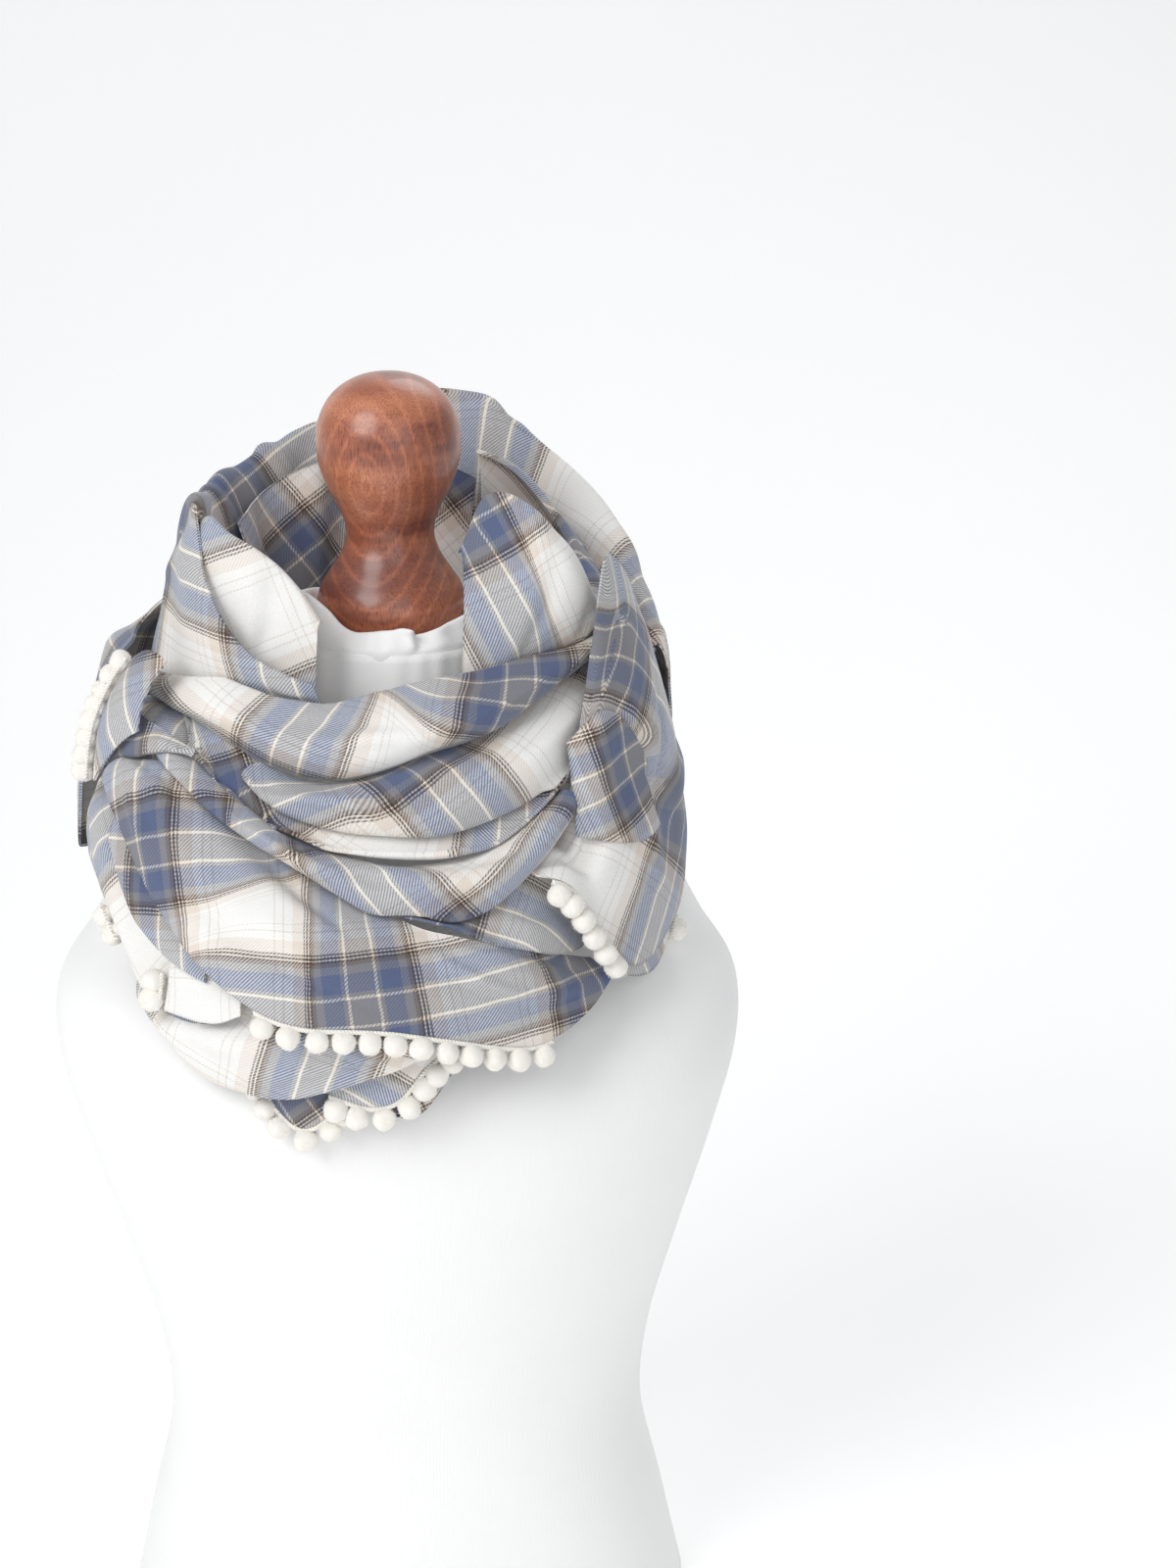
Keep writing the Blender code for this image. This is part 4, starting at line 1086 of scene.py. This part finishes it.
def varnished_wood(look):
    """Red-brown turned wood under a clear varnish, with darker bands and thin rings across the knob."""
    finish = Finish("Varnished wood")
    place = finish.place()
    long_grain = finish.node("ShaderNodeMapping", None, {"Vector": place, "Scale": (1.0, 1.0, 0.09)})
    cross_grain = finish.node("ShaderNodeMapping", None, {"Vector": place, "Scale": (0.22, 0.22, 1.0)})
    streaks = finish.noise(cross_grain, 190, 4, 0.6)
    pores = finish.noise(long_grain, 1500, 2, 0.6)
    broad = finish.noise(cross_grain, 36, 2)
    cut = {"Vector": place, "Location": look.heart, "Scale": (1.0, 0.5, 0.55)}
    rings = finish.node(
        "ShaderNodeTexWave", {"wave_type": "RINGS", "rings_direction": "Y"},
        {"Vector": finish.node("ShaderNodeMapping", None, cut), "Scale": 52.0, "Distortion": 2.0,
         "Detail": 2.0, "Detail Scale": 0.6}, output=1)
    stops = [(0.40, tuple(look.wood_dark)), (0.51, tuple(look.wood)), (0.64, tuple(look.wood_light))]
    thin = rings.math("POWER", 6.0)
    grain = streaks * 0.22 + broad * 0.74 + thin * 0.07
    colour = finish.ramp(grain, stops)
    dark = finish.ramp(pores, [(0.36, (0.6, 0.55, 0.55)), (0.5, (1, 1, 1))])
    colour = finish.blend(1.0, colour, dark, "MULTIPLY")
    return finish.set(
        Base_Color=colour, Roughness=pores * 0.15 + 0.34, Coat_Weight=0.5, Coat_Roughness=0.2,
        Normal=finish.bump(pores, 0.08, 0.0002),
    )


def plain(name, colour):
    """A pale matt finish with a faint cloudiness, for the floor and the backdrop."""
    finish = Finish(name)
    place = finish.place()
    colour = finish.blend(finish.noise(place, 3, 2), tuple(colour), tuple(c * 0.98 for c in colour))
    return finish.set(Base_Color=colour, Roughness=0.95, Emission_Color=(1, 1, 1), Emission_Strength=0.33)


@lru_cache(maxsize=None)
def material_of(kind):
    scene = bpy.context.scene
    makers = {
        "flannel": (flannel, scene.scarf_flannel), "trim": (braid_wool, scene.scarf_trim),
        "jersey": (jersey, scene.scarf_form), "wood": (varnished_wood, scene.scarf_form),
    }
    make, look = makers[kind]
    return make(look)


def keep(name, mesh, kind, node):
    """Adds a piece in place of its CAD node, riding on the part."""
    made = bpy.data.objects.new(name, mesh)
    bpy.context.scene.collection.objects.link(made)
    mesh.materials.append(material_of(kind))
    mesh.shade_smooth()
    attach(made, "root")
    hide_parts(node)
    return made


def mesh_from(name, points, faces):
    mesh = bpy.data.meshes.new(name)
    corners = [tuple(int(k) for k in face) for face in faces]
    mesh.from_pydata([tuple(p) for p in np.asarray(points) * MM], [], corners)
    mesh.update()
    return mesh


def shell(grid):
    """Both faces of a thin sheet round a grid and the rim between them, as points and faces."""
    count = grid.shape[0] * grid.shape[1]
    normal = normals_of(grid) * SHEET / 2
    points = np.concatenate([(grid + normal).reshape(-1, 3), (grid - normal).reshape(-1, 3)])
    front = cells(grid)
    number = np.arange(count).reshape(grid.shape[:2])
    rim = [*number[:, 0], *number[-1, 1:], *number[-2::-1, -1], *number[0, -2:0:-1]]
    faces = front + [tuple(k + count for k in cell[::-1]) for cell in front]
    return points, faces + [(b, a, a + count, b + count) for a, b in zip(rim, rim[1:] + rim[:1])]


def cloth_piece(name):
    """One stretch of the scarf as a thin soft shell, with the braid on its edge."""
    points, places = dressed()[name]
    mesh = mesh_from(name + "_cloth", *shell(points))
    repeat = bpy.context.scene.scarf_flannel.repeat / MM
    uv = np.tile(checked_places(name, points, places, repeat).reshape(-1, 2), (2, 1))
    layer = mesh.uv_layers.new(name="cloth")
    corners = np.empty(len(mesh.loops), int)
    mesh.loops.foreach_get("vertex_index", corners)
    layer.data.foreach_set("uv", uv[corners].astype(np.float32).ravel())
    piece = keep(name + "_cloth", mesh, "flannel", name)
    braids = [braid_piece(b, points, plan) for b, plan in BRAIDS.items() if plan.stretch == name]
    width, length, area = flat_size(places)
    return piece


def edge_line(grid, plan):
    """Points along the braided edge of the fine cloth, and the way out of it at each."""
    back = 3
    if plan.edge == "foot":
        edge, inner = grid[:, -1], grid[:, -1 - back]
    else:
        edge, inner = grid[0], grid[back]
    length = run(edge)
    at = np.linspace(plan.start, plan.end, plan.pompoms * 2 + 1) * length[-1]
    line = spline(length, softened(edge[:, None], EDGE_SOFTENINGS)[:, 0], at)
    out = spline(length, softened((edge - inner)[:, None], WAY_OUT_SOFTENINGS)[:, 0], at)
    along = unit(np.gradient(line, axis=0))
    out = unit(out - np.sum(out * along, axis=1)[:, None] * along)
    from_neck = line * [1, 1, 0] / np.linalg.norm(line[:, :2], axis=1)[:, None]
    return line + (SEAM + TAPE_RADIUS * TAPE_OUT) * out + plan.lift * from_neck, out


def tube(points, faces, line, radius, sides):
    """Adds a thin round strand along a line to a mesh's points and faces."""
    along = unit(np.gradient(line, axis=0))
    side = unit(np.cross(along, [0.3, 0.5, 0.8]))
    up = np.cross(along, side)
    first = len(points)
    for p, a, b in zip(line, side, up):
        points += [p + radius * (math.cos(turn) * a + math.sin(turn) * b) for turn in angles_of(sides)]
    faces += ring_faces(first, len(line) - 1, sides)
    last = first + (len(line) - 1) * sides
    faces += [[first + k for k in range(sides)][::-1], [last + k for k in range(sides)]]


def pompom(points, faces, centre, rng):
    """A woolly ball: an uneven core and many short ends of yarn standing out of it."""
    bm = bmesh.new()
    bmesh.ops.create_icosphere(bm, subdivisions=3, radius=1.0)
    core = np.array([v.co for v in bm.verts])
    shapes = [[v.index for v in f.verts] for f in bm.faces]
    bm.free()
    first = len(points)
    waves = rng.normal(0, CORE_WAVE_RATE, (CORE_WAVES, 3))
    phase = rng.uniform(0, 6.28, CORE_WAVES)
    swell = 1 + CORE_SWELL * np.sin(core @ waves.T + phase).sum(axis=1)
    stretch = 1 + rng.uniform(-POMPOM_SQUASH, POMPOM_SQUASH, 3)
    points += list(centre + core * stretch * (POMPOM_RADIUS - CORE_BELOW) * swell[:, None])
    faces += [[first + k for k in shape] for shape in shapes]
    for direction in unit(rng.normal(0, 1, (POMPOM_ENDS, 3))):
        lean = unit(direction + rng.normal(0, YARN_LEAN, 3))
        side = YARN_HALF_WIDTH * unit(np.cross(lean, rng.normal(0, 1, 3)))
        root = centre + direction * stretch * (POMPOM_RADIUS - ROOTS_BELOW)
        end = root + lean * rng.uniform(*YARN_ENDS_LONG)
        first = len(points)
        points += [root - side, root + side, end]
        faces.append((first, first + 1, first + 2))


def braid_piece(name, grid, plan):
    """The twisted tape beside the cloth's edge, with its pompoms."""
    rng = np.random.default_rng(len(name) * 7 + plan.pompoms)
    line, out = edge_line(grid, plan)
    fine = (len(line) - 1) * STRAND_STEPS + 1
    path, way = refined(line, fine), refined(out, fine)
    side = np.cross(unit(np.gradient(path, axis=0)), way)
    points, faces = [], []
    for strand in range(2):
        angle = (run(path) / TWIST_PITCH * 2 * math.pi + strand * math.pi)[:, None]
        strand_line = path + STRAND_APART * (np.cos(angle) * way + STRAND_FLAT * np.sin(angle) * side)
        tube(points, faces, strand_line, STRAND_RADIUS, STRAND_SIDES)
    for p, o in list(zip(line, out))[1::2]:
        centre = p + o * (POMPOM_RADIUS - POMPOM_SUNK)
        pompom(points, faces, centre, rng)
    mesh = mesh_from(name + "_trim", points, faces)
    return keep(name + "_trim", mesh, "trim", name)


def body_piece():
    """The limbless body, smoother than its solid."""
    points = []
    for z, half_width, half_depth, back in refined(refined(TORSO, FORM_RINGS + 1), COVER_LEVELS + 1):
        deep = GATHER_DEPTH * max(0.0, min(1.0, (z - GATHER_FROM) / GATHER_OVER))
        for a in angles_of(COVER_SIDES):
            gather = deep * math.sin(GATHERS * a + 2 * math.sin(5 * a))
            points.append((*rounded(half_width + gather, half_depth + gather, back, a), z))
    faces = ring_faces(0, COVER_LEVELS, COVER_SIDES)
    top = COVER_LEVELS * COVER_SIDES
    faces += [list(range(COVER_SIDES))[::-1], list(range(top, top + COVER_SIDES))]
    return keep("form_cover", mesh_from("form_cover", points, faces), "jersey", "form_body")


def frill_piece():
    """The cover's top edge, standing in a few loose folds round the foot of the knob."""
    table = np.array(FRILL, float)
    turns = np.linspace(-180, 180, EDGE_SIDES, endpoint=False)
    high, out, lean = spline(table[:, 0], table[:, 1:], turns).T
    points, faces = [], []
    for a, height, bulge, tip in zip(np.radians(turns), high, out, lean):
        ripple = GATHER_DEPTH * math.sin(GATHERS * a + 2 * math.sin(4 * a))
        path = [(r + b * bulge + w * ripple + t * tip, z + s * height) for r, b, w, t, z, s in FRILL_PATH]
        curve = refined(path, EDGE_LEVELS)
        points += [(r * math.sin(a), -r * math.cos(a), NECK_TOP + z) for r, z in curve]
    for i in range(EDGE_SIDES):
        a, b = i * EDGE_LEVELS, (i + 1) % EDGE_SIDES * EDGE_LEVELS
        faces += [(a + k, a + k + 1, b + k + 1, b + k) for k in range(EDGE_LEVELS - 1)]
    piece = keep("cover_frill", mesh_from("cover_frill", points, faces), "jersey", "cover_ruffle")
    wall = piece.modifiers.new("thickness", "SOLIDIFY")
    wall.thickness = FRILL_WALL * MM
    wall.offset = -1
    return piece


def knob_piece():
    """The turned wooden knob, its profile smoothed through the same radii."""
    outline = np.array([(0, 0)] + [(r, h) for h, r in FINIAL] + [(0, FINIAL_TALL)], float)
    curve = spline(np.arange(len(outline)), outline, np.linspace(1, len(outline) - 1, KNOB_LEVELS + 1))
    curve[:, 0] = np.maximum(curve[:, 0], 0)
    points = [(r * math.cos(a), r * math.sin(a), NECK_TOP + h)
              for r, h in curve[:-1] for a in angles_of(KNOB_SIDES)]
    points.append((0, 0, NECK_TOP + FINIAL_TALL))
    faces = ring_faces(0, KNOB_LEVELS - 1, KNOB_SIDES)
    top = (KNOB_LEVELS - 1) * KNOB_SIDES
    faces += [(top + k, top + (k + 1) % KNOB_SIDES, len(points) - 1) for k in range(KNOB_SIDES)]
    faces.append(list(range(KNOB_SIDES))[::-1])
    return keep("turned_knob", mesh_from("turned_knob", points, faces), "wood", "finial")


def colour(name, description, value):
    return FloatVectorProperty(name=name, description=description, default=value, subtype="COLOR")


def amount(name, description, value, unit_name):
    return FloatProperty(name=name, description=description, default=value, unit=unit_name)


class FlannelLook(bpy.types.PropertyGroup):
    """The flannel's yarns and weave."""

    repeat: amount("Repeat", "How far the check runs before it repeats", 0.118, "LENGTH")
    twill_pitch: amount("Twill pitch", "From one slanting line of the twill to the next", 0.0019, "LENGTH")
    twill: FloatProperty(
        name="Twill", description="How strongly the twill's lines show", default=0.62, subtype="FACTOR")
    white: colour("White", "The ground yarn", (0.92, 0.915, 0.90))
    cream: colour("Cream", "The thin light lines", (0.86, 0.82, 0.76))
    blue: colour("Blue", "The bands", (0.315, 0.355, 0.475))
    grey: colour("Grey", "Beside the blue", (0.46, 0.46, 0.48))
    brown: colour("Brown", "The bands' outer parts", (0.37, 0.33, 0.31))
    dark: colour("Dark", "The thin dark lines", (0.25, 0.20, 0.18))
    beige: colour("Beige", "The ground beside the bands", (0.86, 0.81, 0.76))
    tan: colour("Tan", "Faint lines in the ground", (0.82, 0.79, 0.76))


class TrimLook(bpy.types.PropertyGroup):
    """The braid's wool."""

    braid: colour("Braid", "The pompoms' cream", (0.93, 0.91, 0.86))
    braid_shade: colour("Braid shade", "Its deeper tone", (0.88, 0.85, 0.78))


class FormLook(bpy.types.PropertyGroup):
    """The dress form's cover and knob."""

    jersey: colour("Jersey", "The cover", (0.93, 0.93, 0.92))
    jersey_shade: colour("Jersey shade", "Its deeper tone", (0.90, 0.90, 0.89))
    wood: colour("Wood", "The knob", (0.42, 0.135, 0.07))
    heart: FloatVectorProperty(
        name="Heart", description="Added to each scaled place, so that the rings' middle falls at zero",
        default=(0.009, 0.0, -0.341), subtype="TRANSLATION")
    wood_dark: colour("Dark grain", "The wood's dark streaks", (0.22, 0.065, 0.04))
    wood_light: colour("Light grain", "The wood's light streaks", (0.60, 0.23, 0.12))


class StageLook(bpy.types.PropertyGroup):
    """The floor, the light and the camera."""

    floor: colour("Floor", "The plain pale floor", (0.80, 0.80, 0.80))
    key_power: amount("Key light", "The large soft light's power", 33, "POWER")
    fill_power: amount("Fill light", "The second light's power", 9, "POWER")
    tilt: amount("Camera tilt", "How far the camera looks down", math.radians(CAMERA_TILT), "ROTATION")
    distance: amount("Camera distance", "From the camera to the neck", CAMERA_AWAY * MM, "LENGTH")


class PieceMaker:
    """What the operators share."""

    bl_options = {"REGISTER", "UNDO"}
    group = ""

    def execute(self, context):
        for name in GROUPS[self.group]:
            cloth_piece(name)
        return {"FINISHED"}


class SCARF_OT_tips(PieceMaker, bpy.types.Operator):
    """Builds the scarf's hanging points and the fold over them"""

    bl_idname = "scarf.tips"
    bl_label = "Hanging points"
    group = "tips"


class SCARF_OT_left(PieceMaker, bpy.types.Operator):
    """Builds the stretches that hang on the wearer's right"""

    bl_idname = "scarf.left"
    bl_label = "Left of the picture"
    group = "left"


class SCARF_OT_swags(PieceMaker, bpy.types.Operator):
    """Builds the wide swags across the front"""

    bl_idname = "scarf.swags"
    bl_label = "Swags"
    group = "swags"


class SCARF_OT_right(PieceMaker, bpy.types.Operator):
    """Builds the stretches that fall on the wearer's left"""

    bl_idname = "scarf.right"
    bl_label = "Right of the picture"
    group = "right"


class SCARF_OT_rolls(PieceMaker, bpy.types.Operator):
    """Builds the rolls round the front of the neck"""

    bl_idname = "scarf.rolls"
    bl_label = "Rolls"
    group = "rolls"


class SCARF_OT_collar(PieceMaker, bpy.types.Operator):
    """Builds the collar that stands round the knob"""

    bl_idname = "scarf.collar"
    bl_label = "Collar"
    group = "collar"


class SCARF_OT_back(PieceMaker, bpy.types.Operator):
    """Builds the stretch that falls over the back"""

    bl_idname = "scarf.back"
    bl_label = "Back"
    group = "back"


class SCARF_OT_form(bpy.types.Operator):
    """Builds the dress form's covered body and its gathered edge"""

    bl_idname = "scarf.form"
    bl_label = "Dress form"
    bl_options = {"REGISTER", "UNDO"}

    def execute(self, context):
        body_piece()
        frill_piece()
        return {"FINISHED"}


class SCARF_OT_knob(bpy.types.Operator):
    """Builds the turned knob"""

    bl_idname = "scarf.knob"
    bl_label = "Knob"
    bl_options = {"REGISTER", "UNDO"}

    def execute(self, context):
        knob_piece()
        return {"FINISHED"}


class SCARF_OT_stage(bpy.types.Operator):
    """Sets the floor, the backdrop, the lights and the camera"""

    bl_idname = "scarf.stage"
    bl_label = "Stage"
    bl_options = {"REGISTER", "UNDO"}

    def execute(self, context):
        look, scene = context.scene.scarf_stage, context.scene
        sides = -FLOOR_HALF_WIDTH, FLOOR_HALF_WIDTH
        points = [(x, y, max(z, 0) - FLOOR_BELOW) for y, z in refined(SWEEP, FLOOR_STEPS) for x in sides]
        faces = [(2 * i, 2 * i + 1, 2 * i + 3, 2 * i + 2) for i in range(FLOOR_STEPS - 1)]
        mesh = bpy.data.meshes.new("floor_and_backdrop")
        mesh.from_pydata(points, [], faces)
        mesh.materials.append(plain("Pale floor", look.floor))
        mesh.shade_smooth()
        floor = bpy.data.objects.new("floor_and_backdrop", mesh)
        scene.collection.objects.link(floor)
        for name, place, size, power in LIGHTS:
            data = bpy.data.lights.new(name, "AREA")
            data.shape, data.size, data.energy = "DISK", size, getattr(look, power)
            lamp = bpy.data.objects.new(name, data)
            lamp.location = place
            lamp.rotation_euler = (Vector(LIT) - Vector(place)).to_track_quat("-Z", "Y").to_euler()
            scene.collection.objects.link(lamp)
        world = bpy.data.worlds.new("soft daylight")
        world.use_nodes = True
        sky = world.node_tree.nodes["Background"].inputs
        sky["Color"].default_value, sky["Strength"].default_value = DAYLIGHT, DAYLIGHT_STRENGTH
        scene.world = world
        scene.view_settings.view_transform = "Standard"
        data = bpy.data.cameras.new("camera")
        data.sensor_width = SENSOR
        data.lens = SENSOR * look.distance / (CAMERA_COVERS * MM)
        camera = bpy.data.objects.new("camera", data)
        back, up = look.distance * math.cos(look.tilt), look.distance * math.sin(look.tilt)
        camera.location = (CAMERA_AIM[0] * MM, -back, CAMERA_AIM[2] * MM + up)
        camera.rotation_euler = (math.pi / 2 - look.tilt, 0, 0)
        scene.collection.objects.link(camera)
        scene.camera = camera
        return {"FINISHED"}


MAKERS = (
    SCARF_OT_form, SCARF_OT_knob, SCARF_OT_tips, SCARF_OT_left, SCARF_OT_swags, SCARF_OT_right,
    SCARF_OT_rolls, SCARF_OT_collar, SCARF_OT_back, SCARF_OT_stage,
)


class SCARF_PT_panel(bpy.types.Panel):
    """Lists what builds the scarf and its form"""

    bl_idname = "SCARF_PT_panel"
    bl_label = "Triangle scarf"
    bl_space_type = "VIEW_3D"
    bl_region_type = "UI"
    bl_category = "Scarf"

    def draw(self, context):
        for maker in MAKERS:
            self.layout.operator(maker.bl_idname)


LOOKS = {
    "scarf_flannel": FlannelLook, "scarf_trim": TrimLook, "scarf_form": FormLook, "scarf_stage": StageLook,
}


def register():
    for made in (*LOOKS.values(), *MAKERS, SCARF_PT_panel):
        bpy.utils.register_class(made)
    for name, group in LOOKS.items():
        setattr(bpy.types.Scene, name, PointerProperty(type=group))


def unregister():
    for name in LOOKS:
        delattr(bpy.types.Scene, name)
    for made in reversed((*LOOKS.values(), *MAKERS, SCARF_PT_panel)):
        bpy.utils.unregister_class(made)


def main():
    register()
    for maker in MAKERS:
        area, action = maker.bl_idname.split(".")
        getattr(getattr(bpy.ops, area), action)()


if __name__ == "__main__":
    main()
